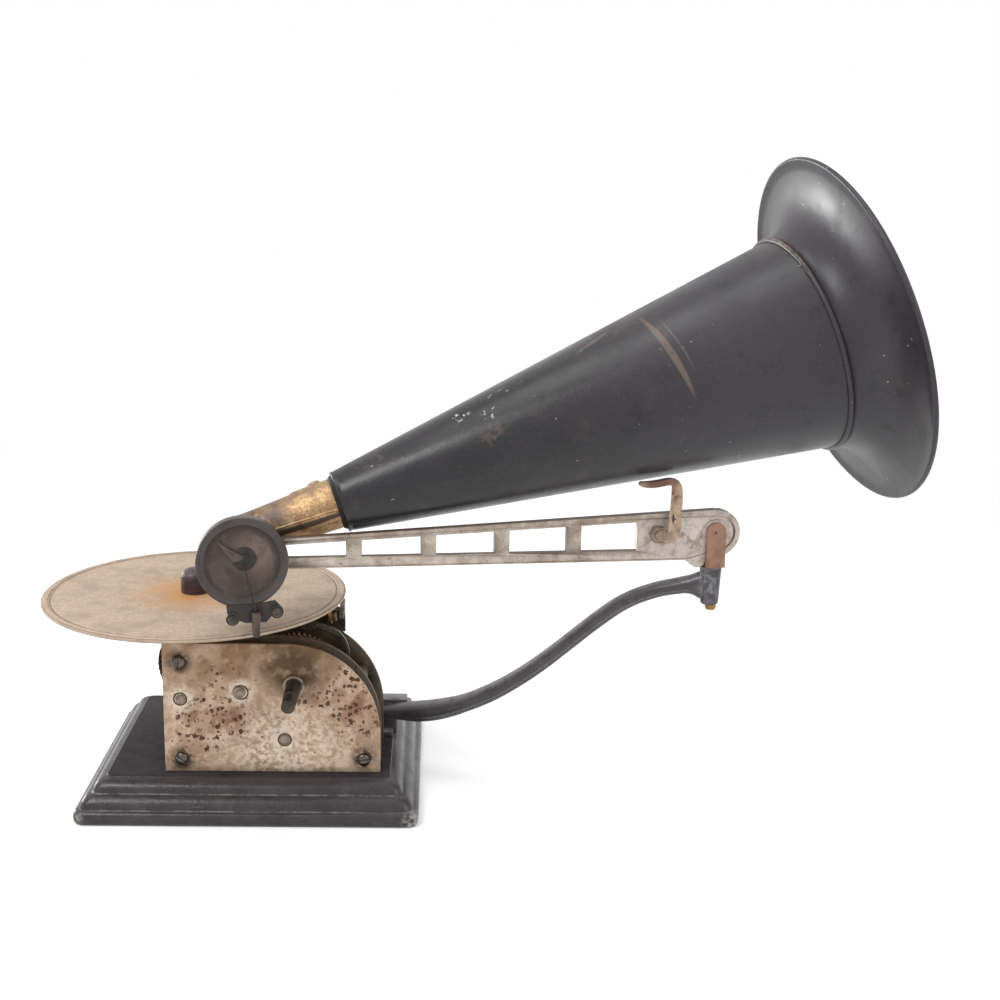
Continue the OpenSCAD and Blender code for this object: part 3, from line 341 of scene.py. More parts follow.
# %% Black lacquer on sheet iron
SCRATCHES = [((-26, -30, 193.0), (32, 30, 2.3), (0, -7.6, -41), "#61554d"),
             ((-30, -32, 199.0), (22, 26, 0.5), (0, -7, -48), "#564f4a"),
             ((-42.5, -9, 160), (6, 2.0, 14), (-15.7, -12.9, 0), "#574c47")]
CHIPPED = [((-18.5, -9.6, 22), (6, 7, 9)), ((-28, -12, 76), (6, 6, 8)), ((-25, -19, 93), (6, 5, 7)),
           ((-33, -10, 92), (4, 4, 26))]
BROWNED = [((-20, -11, 25), (8, 9, 9)), ((-14, -27, 90), (9, 7, 12)), ((-40, -9, 182), (11, 12, 20))]

SEAM = 277.6

def lacquered_sheet():
    f = Finish("black_lacquer_on_sheet_iron", "#242225")
    on_horn = f.local(HORN)
    axis = put(f.tree, "ShaderNodeSeparateXYZ", None, {"Vector": on_horn}).node.outputs["Z"]
    wide_end = put(f.tree, "ShaderNodeMapRange", SOFT, {"Value": axis, "From Min": 0.12, "From Max": 0.25})
    f.coat("#2e2b2e", f.patches(50, 0.38, 0.66))
    f.coat("#373438", wide_end, share=0.8)
    f.coat("#1c1a1d", f.patches(20, 0.54, 0.72), share=0.6)
    f.coat("#443e42", f.patches(14, 0.56, 0.76), share=0.5)
    f.coat("#625c5a", f.patches(1.3, 0.52, 0.76, 4, 0.7), share=0.28)
    f.coat("#8d8681", f.patches(2.4, 0.7, 0.74, 8, 0.75), share=0.5)
    f.coat("#cfc2a8", f.dots(4, 0.34, 0.1), share=0.8)
    for centre, radius in BROWNED:
        f.coat("#514540", f.spot(centre, radius, at=on_horn), f.patches(5, 0.46, 0.62, 8, 0.65), share=1.1)
    for centre, radius in CHIPPED:
        f.coat("#bdb9be", f.spot(centre, radius, at=on_horn), f.patches(3.6, 0.56, 0.61, 6, 0.65), share=1.8)
    for centre, radius, tilt, chip in SCRATCHES:
        line = put(f.tree, "ShaderNodeMapRange", None,
                   {"Value": f.spot(centre, radius, tilt, at=on_horn), "From Max": 0.3})
        f.coat(chip, line, f.patches(3, 0.3, 0.46))
    rusty = f.spot((301, -35, 340), (60, 60, 36))
    f.coat("#86705a", f.band(axis, SEAM, 0.4, 0.7), f.patches(5, 0.44, 0.58, 8, 0.7), rusty, share=2.0)
    f.coat("#66544a", f.band(axis, 273, 5, 8), rusty, f.patches(2.5, 0.6, 0.64), share=1.2)
    rubbed = f.worn_edge(0.5, 0.05, 0.3)
    f.coat("#77716f", rubbed, f.patches(9, 0.4, 0.6), share=0.7)
    smear = put(f.tree, "ShaderNodeMapRange", None,
                {"Value": f.patches(40, 0.35, 0.7), "To Min": 0.26, "To Max": 0.38})
    smear = put(f.tree, "ShaderNodeMath", {"operation": "MULTIPLY_ADD"}, {0: wide_end, 1: 0.08, 2: smear})
    return f.closed(0.0, smear, f.patches(9, 0.3, 0.7, 3), 0.08, 0.36)

finishes["black_sheet"] = lacquered_sheet()

# %% [markdown]
# The front motor plate was nickel plated. The plating has gone a warm beige grey with pale crazed blotches.
# Reddish pits gather left and right, and oil has left brown halos round the screws and the winding shaft.
# Old plating is no mirror, so it is only a third metallic, and rougher in its pits. The pits keep to five
# groups, each a spot, and a dark ring of dirt runs round each riveted stud.

# %% Worn nickel plate
PIT_GROUPS = [((-28, 54), (19, 26)), ((-10, 58), (15, 18)), ((-14, 84), (13, 10)), ((63, 68), (20, 30)),
              ((41, 72), (16, 11))]
OILED_SCREWS = [(-39.7, 92.3), (-39.6, 32), (67.7, 33)]

def on_face(x, z):
    return (x, PLATE_FACE, z)

def worn_nickel():
    f = Finish("worn_nickel_plate", "#b2957c")
    f.coat("#cbb29c", f.patches(4.5, 0.44, 0.58, 10, 0.7))
    f.coat("#987c65", f.patches(22, 0.46, 0.66), share=0.8)
    low = f.spot(on_face(22, 40), (52, 20, 34))
    f.coat("#dcc9b7", low, f.patches(3.2, 0.46, 0.56, 10, 0.72), share=1.5)
    top = f.spot(on_face(10, 104), (95, 20, 34))
    f.coat("#856649", top, f.patches(9, 0.36, 0.58, 8, 0.6), share=1.7)
    for centre, (wide, high) in PIT_GROUPS:
        group = f.spot(on_face(*centre), (wide, 20, high))
        f.coat("#87644c", group, f.patches(9, 0.48, 0.6, 8, 0.6), share=1.2)
        f.coat("#54372a", group, f.dots(3.4, 1.1, 0.5), share=3.0)
        f.coat("#6b4532", group, f.dots(1.8, 0.6, 0.4), share=2.6)
    f.coat("#634434", f.dots(3.1, 0.6, 0.2), share=0.8)
    for centre in OILED_SCREWS:
        halo = f.spot(on_face(*centre), (9.5, 14, 9.5))
        f.coat("#4c382a", halo, f.patches(5, 0.25, 0.55), share=2.0)
    for centre, ring in RIVETED.items():
        pale = f.spot(on_face(*centre), (10, 14, 10))
        f.coat("#dfcfbe", pale, f.patches(3, 0.4, 0.52, 8, 0.7), share=1.8)
        round_it = f.from_axis(Matrix.Translation(on_face(*centre)) @ TO_FRONT)
        f.coat("#4b3c31", f.band(round_it, ring, 0.25, 0.45))
    oil = f.spot(on_face(27, 88), (24, 14, 22))
    f.coat("#5b452d", oil, f.patches(8, 0.3, 0.55), share=1.8)
    f.coat("#e3c795", f.worn_edge(0.5), f.patches(6, 0.35, 0.5), share=0.9)
    pits = f.dots(3.4, 1.1, 0.5)
    dull = put(f.tree, "ShaderNodeMapRange", None, {"Value": pits, "To Min": 0.44, "To Max": 0.7})
    return f.closed(0.35, dull, f.patches(2.2, 0.3, 0.7), 0.1, 0.4)

finishes["nickel_plate"] = worn_nickel()

# %% [markdown]
# The turntable is plated the same way but cleaner and pinker, with a fine grain of pits. It is yellow near
# its middle, where the record label lay, and dark lines have formed in its groove and along its rim. They
# follow the distance from the axis, as marks on turned work do. The plating is so dull that it is drawn as
# a plain matt surface, without metal's mirror, which keeps its colour from every side.

# %% Turntable nickel
RIM_LINES = [(83.6, 0.15, 0.35, "#6b5342", 0.8), (85.0, 0.1, 0.3, "#7a614e", 0.6), (88.4, 0.1, 0.35, "#6f5746", 0.7)]

def turntable_nickel():
    f = Finish("worn_turntable_nickel", "#b29c89")
    radius = f.from_axis(TABLE)
    f.coat("#c3ad99", f.patches(2.6, 0.42, 0.6, 10, 0.74))
    f.coat("#a39280", f.patches(18, 0.42, 0.66, 8, 0.6), share=0.9)
    near = put(f.tree, "ShaderNodeMapRange", SOFT, {"Value": radius, "From Min": 0.05, "From Max": 0.006})
    f.coat("#bd8c5a", near, f.patches(22, 0.2, 0.55, 8), share=1.1)
    f.coat("#8c6c57", f.patches(1.6, 0.62, 0.67, 6, 0.7), share=0.9)
    for ring, half, soft, chip, share in RIM_LINES:
        f.coat(chip, f.band(radius, ring, half, soft), share=share)
    return f.closed(0.0, 0.55, f.patches(2.5, 0.3, 0.7), 0.06, 0.2)

finishes["turntable_nickel"] = turntable_nickel()

# %% [markdown]
# The neck is brass under worn lacquer: bright gold where it is rubbed, freckled dark brown elsewhere, and
# almost purple brown near the sound box. A dark line under its seam is painted shade, for the groove there
# that the mesh does not have. The tarnish takes away half of the metal's mirror, so the shader is half
# metallic.

# %% Tarnished brass
def tarnished_brass():
    f = Finish("tarnished_neck_brass", "#c29f72")
    along = f.local(HORN)
    f.coat("#9c7b5a", f.patches(9, 0.42, 0.6))
    f.coat("#7d6149", f.patches(1.7, 0.52, 0.62, 6, 0.7), share=0.8)
    f.coat("#473529", f.patches(1.2, 0.6, 0.66, 4), share=0.8)
    f.coat("#ecd3a6", f.patches(2.4, 0.6, 0.68, 4), share=0.5)
    elbow = f.spot((-6, -4, -53), (30, 32, 30), at=along)
    f.coat("#5f4f49", elbow, f.patches(6, 0.2, 0.5), share=2.6)
    top = f.spot((-13, -2, -26), (6, 12, 40), at=along)
    f.coat("#8a7058", top, f.patches(5, 0.3, 0.6), share=1.4)
    # The dark line under the seam is painted shade of a groove.
    f.coat("#44342a", f.spot((3.0, -13, -26), (2.2, 6, 46), at=along), share=2.4)
    return f.closed(0.5, 0.42, f.patches(1.6, 0.3, 0.7), 0.18)

finishes["neck_brass"] = tarnished_brass()

# %% [markdown]
# The sound box is dark lacquered metal. Its plate has faded in a ring round the middle, most of all at the
# upper right, so its colour follows the distance from the axis, broken up by patches. Next to the ring it is
# painted darker, as shade from the ring. It is almost matt.

# %% Sound box plate
def faded_plate():
    f = Finish("faded_diaphragm_metal", "#51453f")
    radius = f.from_axis(BOX @ TO_FRONT)
    f.coat("#413835", f.patches(14, 0.42, 0.62))
    ring = f.band(radius, 11, 3.2, 3.4)
    side = f.spot((8, 0, 5), (19, 30, 19), at=f.local(BOX))
    f.coat("#88736a", ring, side, f.patches(7, 0.25, 0.6), share=1.8)
    f.coat("#63544d", f.patches(5, 0.5, 0.66), share=0.35)
    # Darker next to the ring: painted shade that the ring casts on the plate.
    f.coat("#3a302c", f.band(radius, 20.6, 1.2, 2.2), f.patches(9, 0.35, 0.55))
    f.coat("#2f2825", f.patches(2, 0.64, 0.7), share=0.7)
    return f.closed(0.1, 0.55, f.patches(2, 0.3, 0.7), 0.06, 0.3)

finishes["diaphragm_plate"] = faded_plate()

# %% [markdown]
# The ladder arm is a pale grey casting, never painted. Its colour drifts between warm grey and beige, and
# brown dirt has settled along its upper edge and round its windows. Its round head is cleaner, and a dark
# line painted round its right side is the shade of the step round it. Rubber and leather are small and half
# hidden, so two colours and a grain are enough for them.

# %% Cast aluminium, rubber and leather
def cast_aluminium():
    f = Finish("dull_grey_cast_aluminium", "#a69a8f")
    flat = f.local(ARM)
    f.coat("#bbafa4", f.patches(8, 0.42, 0.6, 10, 0.7))
    f.coat("#87786a", f.patches(18, 0.47, 0.64), share=0.8)
    f.coat("#75665a", f.patches(2.0, 0.57, 0.66, 8), share=0.7)
    head = f.spot((-18, 0, 172), (60, 30, 34), at=flat)
    f.coat("#cdc3b9", head, f.patches(5, 0.36, 0.56, 8, 0.65), share=1.2)
    # The dark crescent round the right side of the head is painted shade of the step there.
    rim = f.from_axis(towards_viewer(ARM, 1, 0, PIN_HEIGHT))
    f.coat("#463b32", f.band(rim, 10.5, 0.25, 0.45), f.spot((11, 0, 171), (9, 20, 13), at=flat), share=3)
    level = put(f.tree, "ShaderNodeSeparateXYZ", None, {"Vector": flat}).node.outputs["Z"]
    f.coat("#7d6f63", f.band(level, 181.6, 0.2, 0.4), f.spot((-38, 0, 181.6), (42, 20, 20), at=flat), share=1.6)
    upper = f.spot((-120, 0, 186), (190, 10, 9), at=flat)
    f.coat("#84705e", upper, f.patches(7, 0.4, 0.56), share=1.2)
    f.coat("#5c4a3c", f.facing_up(), f.patches(12, 0.2, 0.45), share=0.9)
    f.coat("#5f4f40", f.worn_edge(0.9), f.patches(5, 0.42, 0.55), share=0.8)
    return f.closed(0.3, 0.5, f.patches(1.6, 0.3, 0.7), 0.12, 0.4)

def soft_goods(name, one, two, size, depth, rough):
    f = Finish(name, one)
    f.coat(two, f.patches(size, 0.4, 0.6))
    return f.closed(0.0, rough, f.patches(size / 2, 0.3, 0.7), depth, 0.3)

finishes["grey_aluminium"] = cast_aluminium()
finishes["rubber"] = soft_goods("black_rubber", "#262321", "#1b1918", 3, 0.1, 0.7)
finishes["leather"] = soft_goods("brown_brake_leather", "#6b4a2c", "#4d3320", 1.5, 0.3, 0.75)
for name, finish in finishes.items():
    print(name, len(finish.node_tree.nodes), "nodes")

# %% [markdown]
# A finished piece is a mesh in metres whose object sits at the origin. It rides on a body, names the solids
# that it stands for, and shades smoothly except over real corners. All pieces end here, so that none of
# this is forgotten.

# %% Finishing a piece
def finish_piece(name, bm, stands_for, corner=32, finish=None, place=MM):
    bmesh.ops.transform(bm, matrix=place, verts=bm.verts)
    mesh = bpy.data.meshes.new(name)
    bm.to_mesh(mesh)
    bm.free()
    mesh.shade_smooth()
    mesh.set_sharp_from_angle(angle=math.radians(corner))
    mesh.materials.append(finish or finishes[slot_of_node[stands_for[0]]])
    piece = bpy.data.objects.new(name, mesh)
    bpy.context.scene.collection.objects.link(piece)
    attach(piece, body_of_node[stands_for[0]])
    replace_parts(piece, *stands_for)
    print(f"{name}: {len(mesh.polygons)} faces")
    return piece

def sharp_edges(bm, corner=35):
    return [e for e in bm.edges if len(e.link_faces) == 2 and e.calc_face_angle(0) > math.radians(corner)]

def rounded(bm, edges, width, segments=2):
    bmesh.ops.bevel(bm, geom=edges, offset=width, segments=segments, profile=0.5, affect="EDGES", material=-1,
                    clamp_overlap=True)

# %% [markdown]
# Many small solids already have the right form, and only their edges are too sharp: real metal is filed or
# tumbled. They could be drawn again, but that would only repeat the solid. So the solid is copied, its
# loose triangles are merged back to flat faces, and its edges are rounded by a few tenths of a millimetre.
# Some copies are cut off at a plane, to make room for a finer piece or to lose what the photograph doesn't
# show.

# %% Softened copies of the solids
def solid_copy(node):
    bm = bmesh.new()
    bm.from_mesh(nodes[node].data)
    bmesh.ops.transform(bm, matrix=Matrix.Scale(1000, 4), verts=bm.verts)
    bmesh.ops.remove_doubles(bm, verts=bm.verts, dist=0.002)
    bmesh.ops.dissolve_limit(bm, angle_limit=math.radians(0.5), verts=bm.verts, edges=bm.edges)
    return bm

def sheared(node, through, away):
    bm = solid_copy(node)
    cut = bmesh.ops.bisect_plane(bm, geom=bm.verts[:] + bm.edges[:] + bm.faces[:], plane_co=through, plane_no=away,
                                 clear_outer=True)["geom_cut"]
    bmesh.ops.holes_fill(bm, edges=[g for g in cut if isinstance(g, bmesh.types.BMEdge)], sides=0)
    return bm

def softened(node, width, finish):
    bm = solid_copy(node)
    rounded(bm, sharp_edges(bm), width)
    finish_piece(node + "_finished", bm, [node], corner=30, finish=finish)

# %% [markdown]
# Round parts are turned on a lathe, and made here the same way: half of the outline is drawn beside the
# axis and spun a full turn. Several turned shapes and blocks can be gathered in one piece, as castings are.
# A boolean could join them to one skin, but inside a painted casting nobody sees the difference, and the
# loose shapes keep clean edges.

# %% Turning on a lathe
def turned(outline, steps, bm=None, place=None):
    shape = bmesh.new()
    points = [shape.verts.new((r, 0, h)) for r, h in outline]
    lines = [shape.edges.new(pair) for pair in zip(points, points[1:] + points[:1])]
    bmesh.ops.spin(shape, geom=points + lines, cent=(0, 0, 0), axis=(0, 0, 1), angle=2 * math.pi, steps=steps,
                   use_merge=True)
    bmesh.ops.remove_doubles(shape, verts=shape.verts, dist=0.001)
    bmesh.ops.recalc_face_normals(shape, faces=shape.faces)
    return gathered(shape, bm, place)

def gathered(shape, bm, place):
    if place:
        bmesh.ops.transform(shape, matrix=place, verts=shape.verts)
    if bm is None:
        return shape
    carrier = bpy.data.meshes.new("gathered")
    shape.to_mesh(carrier)
    shape.free()
    bm.from_mesh(carrier)
    bpy.data.meshes.remove(carrier)
    return bm

def block(low, high, edge, bm=None, place=None):
    shape = bmesh.new()
    bmesh.ops.create_cube(shape, size=1)
    bmesh.ops.scale(shape, vec=[h - l for l, h in zip(low, high)], verts=shape.verts)
    bmesh.ops.translate(shape, vec=[(h + l) / 2 for l, h in zip(low, high)], verts=shape.verts)
    rounded(shape, list(shape.edges), edge, 4)
    return gathered(shape, bm, place)

# %% [markdown]
# Long bent parts are drawn through a row of rings, as a smith draws out a bar. Each ring is pushed out of
# the last one and set to its own place, size and tilt. A curve with a bevel could make a pipe, but not one
# whose section changes from flat to round. Each new vertex remembers which point of the section it carries.

# %% Drawing through rings
def pushed(bm, ring, edges):
    made = bmesh.ops.extrude_edge_only(bm, edges=edges)["geom"]
    fresh = {g for g in made if isinstance(g, bmesh.types.BMVert)}
    ring = {v: next(ring[e.other_vert(v)] for e in v.link_edges if e.other_vert(v) in ring) for v in fresh}
    return ring, [g for g in made if isinstance(g, bmesh.types.BMEdge) and all(v in fresh for v in g.verts)]

def closed_up(bm):
    bmesh.ops.holes_fill(bm, edges=bm.edges, sides=0)
    bmesh.ops.recalc_face_normals(bm, faces=bm.faces)
    return bm

def drawn(section, rings, bm=None, place=None):
    shape = bmesh.new()
    start = bmesh.ops.create_circle(shape, cap_ends=False, radius=1, segments=len(section))["verts"]
    here, edges = dict(zip(start, section)), list(shape.edges)
    for i, ring in enumerate(rings):
        if i:
            here, edges = pushed(shape, here, edges)
        for v, point in here.items():
            v.co = ring @ point
    return gathered(closed_up(shape), bm, place)

def round_section(count):
    turns = [2 * math.pi * i / count for i in range(count)]
    return [Vector((math.cos(a), math.sin(a), 0)) for a in turns]

def with_neighbours(rows):
    return zip(rows[:1] + rows, rows, rows[1:] + rows[-1:])

def ring_at(centre, direction, wide, high=None, up=(0, 0, 1)):
    ahead = Vector(direction).normalized()
    side = Vector(up).cross(ahead).normalized()
    turn = Matrix((side, ahead.cross(side), ahead)).transposed().to_4x4()
    return Matrix.Translation(centre) @ turn @ Matrix.Diagonal((wide, high or wide, 1, 1))

# %% [markdown]
# The base is one iron casting with a stepped moulding, hollow below to save iron. A lathe can't make it,
# because it isn't round. Its outline starts as a rounded rectangle, and the moulding is run round it by
# pushing the rim up and in along the moulding's section, as a plaster moulding is run. The same rim is then
# pushed inwards below, for the hollow. Each pair of numbers is how far in and how far up the rim goes.

# %% Base moulding
BASE_HALF = (100.5, 81.5)
MOULDING = [(2.4, 0), (0.9, 0.6), (0.2, 2.2), (0, 4.2), (0.15, 6.0), (0.8, 7.5), (1.9, 8.3), (3.0, 8.5), (3.2, 9.1),
            (3.9, 11.2), (5.0, 13.2), (6.4, 14.8), (8.0, 15.7), (9.5, 16.0), (9.8, 16.6), (10.3, 18.4), (11.3, 20.3),
            (12.8, 21.8), (14.8, 22.8), (16.6, 23.1), (17.0, 23.2), (17.3, 23.8), (17.8, 24.0)]
UNDERSIDE = [(5.5, 0), (6.5, 0.6), (10, 10.6), (18, 11), (19.5, 12), (20, 19.6), (22, 20)]

def set_rim(rim, inset, height):
    wide, deep = BASE_HALF
    for v, corner in rim.items():
        v.co = (corner.x * (wide - inset) / wide, corner.y * (deep - inset) / deep, height)

def base_shell():
    bm = bmesh.new()
    bmesh.ops.create_grid(bm, x_segments=1, y_segments=1, size=1)
    bmesh.ops.scale(bm, vec=(*BASE_HALF, 1), verts=bm.verts)
    bmesh.ops.bevel(bm, geom=list(bm.verts), offset=6, segments=6, profile=0.5, affect="VERTICES", material=-1)
    rim = {v: v.co.copy() for v in bm.verts}
    bmesh.ops.delete(bm, geom=list(bm.faces), context="FACES_ONLY")
    rim_edges = list(bm.edges)
    set_rim(rim, *MOULDING[0])
    for steps in (MOULDING[1:], UNDERSIDE):
        here, edges = rim, rim_edges
        for inset, height in steps:
            here, edges = pushed(bm, here, edges)
            set_rim(here, inset, height)
    return closed_up(bm)

finish_piece("moulded_base", base_shell(), ["base_casting"], corner=50)

# %% [markdown]
# The horn is two sheets: a straight cone with its small end turned over, and a bell that swells out from a
# beaded seam to a rim rolled over a wire. Both are spun on a lathe in real life too. The bell's flare is
# one smooth curve, worked out from its two ends and a point between them that pulls it, and every sheet
# gets a real thickness, because one can look into the horn.

# %% Horn cone and bell
SMALL, WIDE, LONG, RIM, WIRE = 17, 62.3, 280, 100.9, 1.55
RINGS = (3, 8, 40, 80, 120, 160, 200, 240, 262, 277)

def cone_r(z):
    return SMALL + (WIDE - SMALL) * z / LONG

def bell_point(u, skin):
    r = (1 - u) ** 2 * WIDE + 2 * u * (1 - u) * (WIDE + 7) + u * u * RIM
    z = 2 * u * (1 - u) * 23 + u * u * 24.8
    return (r - 0.7 * skin * (1 - u), LONG + z + skin * (0.7 + 0.3 * u))

cone_line = [(SMALL - 0.8, 0.15), (SMALL + 0.1, 0.0), (SMALL + 0.5, 0.5), (SMALL + 0.45, 1.2), (SMALL + 0.25, 1.8)]
cone_line += [(cone_r(z), z) for z in RINGS[:-1] + (270, 274, 277)]
cone_line += [(cone_r(z) - 1, z) for z in reversed(RINGS)]
finish_piece("horn_cone_sheet", turned(cone_line, 128), ["horn_cone"], place=MM @ HORN, corner=40)

steps = [i / 18 for i in range(19)]
round_wire = [math.radians(-110 + 24 * i) for i in range(13)]
wired = [(RIM + WIRE * math.cos(a), LONG + 25.1 + WIRE * math.sin(a)) for a in round_wire]
bell_line = [(WIDE - 0.2, 276.3), (WIDE + 0.7, 276.5), (WIDE + 1.4, 277.2), (WIDE + 1.6, 278.2), (WIDE + 1.3, 279.1),
             (WIDE + 0.7, 279.6), (WIDE + 0.45, 280.1)]
bell_line += [bell_point(u, 0) for u in steps[1:-1]] + wired
bell_line += [bell_point(u, 1) for u in reversed(steps[1:-1])] + [(WIDE - 1, 280.2), (WIDE - 1, 276.6)]
finish_piece("horn_bell_sheet", turned(bell_line, 144), ["horn_bell"], place=MM @ HORN, corner=40)

# %% [markdown]
# The brass neck carries the sound from the box round an elbow into the horn. It has a round closed end, a
# sleeve near the horn with a folded seam along its front and a small soldered strip behind it, and a black
# packing ring where the horn fits on. Its bore is deep, because one can look down the horn into it. The
# seam and the strip are drawn through rings, which lets them swell and fade as solder does.

# %% Brass neck
ELBOW = 11.3
round_end = [math.radians(10 * i) for i in range(1, 10)]
neck_line = [(0, -56 - ELBOW)] + [(ELBOW * math.sin(a), -56 - ELBOW * math.cos(a)) for a in round_end]
neck_line += [(11.6, -45), (12.15, -36), (12.7, -26), (12.9, -24.8), (13.4, -23.8), (13.65, -22.6), (14.2, -4),
              (14.2, -2.6), (13.9, -2.0), (12.4, -1.9), (11.8, -2.6), (10.2, -44), (0, -46)]
neck = turned(neck_line, 72, place=HORN)

seam_at = [(-0.4, -11.2, -49), (-0.5, -12.3, -38), (-0.6, -12.9, -27), (-0.6, -13.9, -19), (-0.6, -14.3, -9),
           (-0.4, -14.4, -2.8)]
seam = [ring_at(p, Vector(ahead) - Vector(behind), 1.0, 0.7, up=(1, 0, 0))
        for behind, p, ahead in with_neighbours(seam_at)]
neck = drawn(round_section(12), seam, neck, HORN)
strip_at = [(-13.0, 3.5, -14.2), (-13.7, 3.6, -13), (-14.1, 3.7, -10.4), (-14.2, 3.7, -8), (-13.4, 3.7, -6.6)]
strip = [ring_at(p, (0, 0, 1), 0.7, 2.2, up=(0, 1, 0)) for p in strip_at]
neck = drawn(round_section(12), strip, neck, HORN)
boss_line = [(0, 19.5), (5.4, 19.5), (6.3, 18.6), (6.5, 17.4), (6.5, 6.2), (6.9, 5.7), (8.2, 5.5), (8.5, 5.1),
             (8.5, 2.8), (0, 2.8)]
neck = turned(boss_line, 64, bm=neck, place=BOX @ TO_FRONT.inverted())
finish_piece("neck_tube", neck, ["brass_neck"], corner=40)
collar_line = [(13.4, -2.2), (14.4, -2.1), (14.9, -1.6), (15.4, -0.8), (15.85, 0.2), (16.2, 3), (17.2, 10.6),
               (16.8, 12), (13.4, 12)]
finish_piece("neck_packing_ring", turned(collar_line, 72, place=HORN), ["brass_neck"], corner=40,
             finish=finishes["rubber"])

# %% [markdown]
# The carrying arm is a casting like a swan's neck. Its section is an oval with a parting line low on each
# side, where the two halves of the mould met. It grows out of a bolted bracket and ends in a drilled boss.
# The table gives how far along, how high and how thick the neck is, read off the photograph, and a smooth
# curve runs through these points, so that no kink shows between them.

# %% Carrying arm
SWAN = [(-6, 38.8, 4.8), (4, 39.7, 5.9), (17, 41.0, 6.8), (31, 44.4, 6.6), (46, 50.1, 5.7), (62, 58.5, 5.5),
        (78, 69.3, 5.2), (94, 82.2, 5.0), (110, 96.8, 4.8), (126, 111.6, 4.8), (142, 124.6, 4.8),
        (158, 132.9, 4.7), (172, 137.3, 4.8), (181, 139.3, 5.8), (188.2, 139.6, 9.2)]

def swan_at(s):
    i = max(1, next((k for k, p in enumerate(SWAN) if p[0] > s), len(SWAN) - 1))
    before, start, end, after = (Vector(SWAN[min(max(k, 0), len(SWAN) - 1)]) for k in (i - 2, i - 1, i, i + 1))
    t = (s - start.x) / (end.x - start.x)
    return (0.5 * ((2 * start) + (end - before) * t + (2 * before - 5 * start + 4 * end - after) * t ** 2
                   + (3 * start - before - 3 * end + after) * t ** 3))

def swan_rings(count=65):
    first, last, rings = SWAN[0][0], SWAN[-1][0], []
    for i in range(count):
        s = first + (last - first) * i / (count - 1)
        here, ahead = swan_at(s), swan_at(min(s + 0.5, last)) - swan_at(s - 0.5)
        rings.append(ring_at((s, 0, here.y), (ahead.x, 0, ahead.y), 6.0 - 0.9 * max(0, s) / last, here.z))
    return rings

def swan_section():
    parting, narrower = -0.4, 0.84
    return [Vector((p.x * (narrower if p.y < parting else 1.0), p.y, 0)) for p in round_section(48)]

arm = drawn(swan_section(), swan_rings(), place=ROOT)
for low, high, edge in (((74, 0.6, 24), (86, 10.2, 44), 1.6), ((74, 0.6, 33.2), (95, 10.2, 45.8), 2.2),
                        ((73, 0.1, 45.4), (92, 10.8, 47.6), 0.8), ((52, -3.9, 24), (83, 14.1, 28), 1.0)):
    arm = block(low, high, edge, arm)
boss_line = [(3.7, 129), (4.4, 129), (5.0, 129.5), (5.3, 130.6), (5.6, 138), (6.0, 146), (6.25, 150), (6.15, 151.1),
             (5.7, 151.5), (3.7, 151.5)]
arm = turned(boss_line, 64, bm=arm, place=Matrix.Translation((267.9, -52.5, 0)))
finish_piece("carrying_arm", arm, ["s_arm"], corner=38, finish=finishes["arm_iron"])

# %% [markdown]
# The turntable is a pressed plate with a turned rim and one fine groove inside it. They are under a
# millimetre deep, but they catch the light all round, so they are turned and not only painted.

# %% Turntable
table_line = [(3.7, -0.3), (20, -0.3), (50, -0.3), (82.4, -0.3), (83.0, -0.4), (83.4, -0.75), (84.0, -0.8),
              (84.5, -0.6), (84.8, -0.15), (85.4, 0), (87.9, 0), (88.5, -0.12), (88.9, -0.5), (88.95, -1.2),
              (88.8, -1.7), (88.2, -2.2), (87.2, -2.5), (60, -2.65), (9, -2.8), (3.7, -2.8)]
finish_piece("turntable_plate", turned(table_line, 160), ["turntable"], place=MM @ TABLE, corner=40,
             finish=finishes["turntable_nickel"])

# %% [markdown]
# The cap that holds the record down is a plain turned dome without a brim. A few points round its shoulder
# are enough, because smooth shading fills in between them.

# %% Record cap
cap_line = [(0, 0.1), (8.4, 0.1), (8.6, 0.4), (8.6, 9.0), (8.3, 10.6), (7.4, 12.0), (5.8, 13.2), (3.4, 14.0),
            (0, 14.3)]
finish_piece("record_cap", turned(cap_line, 72, place=TABLE), ["record_clamp"], corner=40)

# %% [markdown]
# The ladder arm is cast, so its windows have round corners. On the copied solid these corners are the short
# edges that run through the arm from front to back, so they are found by their direction and get a wider
# rounding than the rest.

# %% Ladder arm
def ladder():
    bm = solid_copy("ladder_arm")
    across = (ARM.to_3x3() @ Vector((0, 1, 0))).normalized()
    corners = [e for e in sharp_edges(bm, 50) if e.calc_length() > 3
               and abs((e.verts[1].co - e.verts[0].co).normalized().dot(across)) > 0.999]
    rounded(bm, corners, 1.5, 4)
    print(len(corners), "window corners rounded")
    rounded(bm, sharp_edges(bm), 0.35)
    return bm

finish_piece("ladder_arm_casting", ladder(), ["ladder_arm"], corner=30)

# %% [markdown]
# The front plate is held by three screws with domed heads and slots, each left at its own angle. A head is
# turned, two cuts mark the slot across it, and the strip between them is pushed in, which leaves crisp
# walls without a boolean. The ends of the three studs that are riveted over stand as small domes.

# %% Screw heads and rivets
DOME = [(0, 0), (3.7, 0), (3.9, 0.3), (3.85, 0.9), (3.4, 1.6), (2.5, 2.1), (1.3, 2.35), (0, 2.4)]
RIVET = [(0, 0.4), (2.2, 0.4), (2.7, 0.8), (2.6, 1.2), (2.1, 1.6), (1.2, 1.9), (0, 2.0)]
SLOT_HALF, SLOT_DEEP = 0.55, 1.1

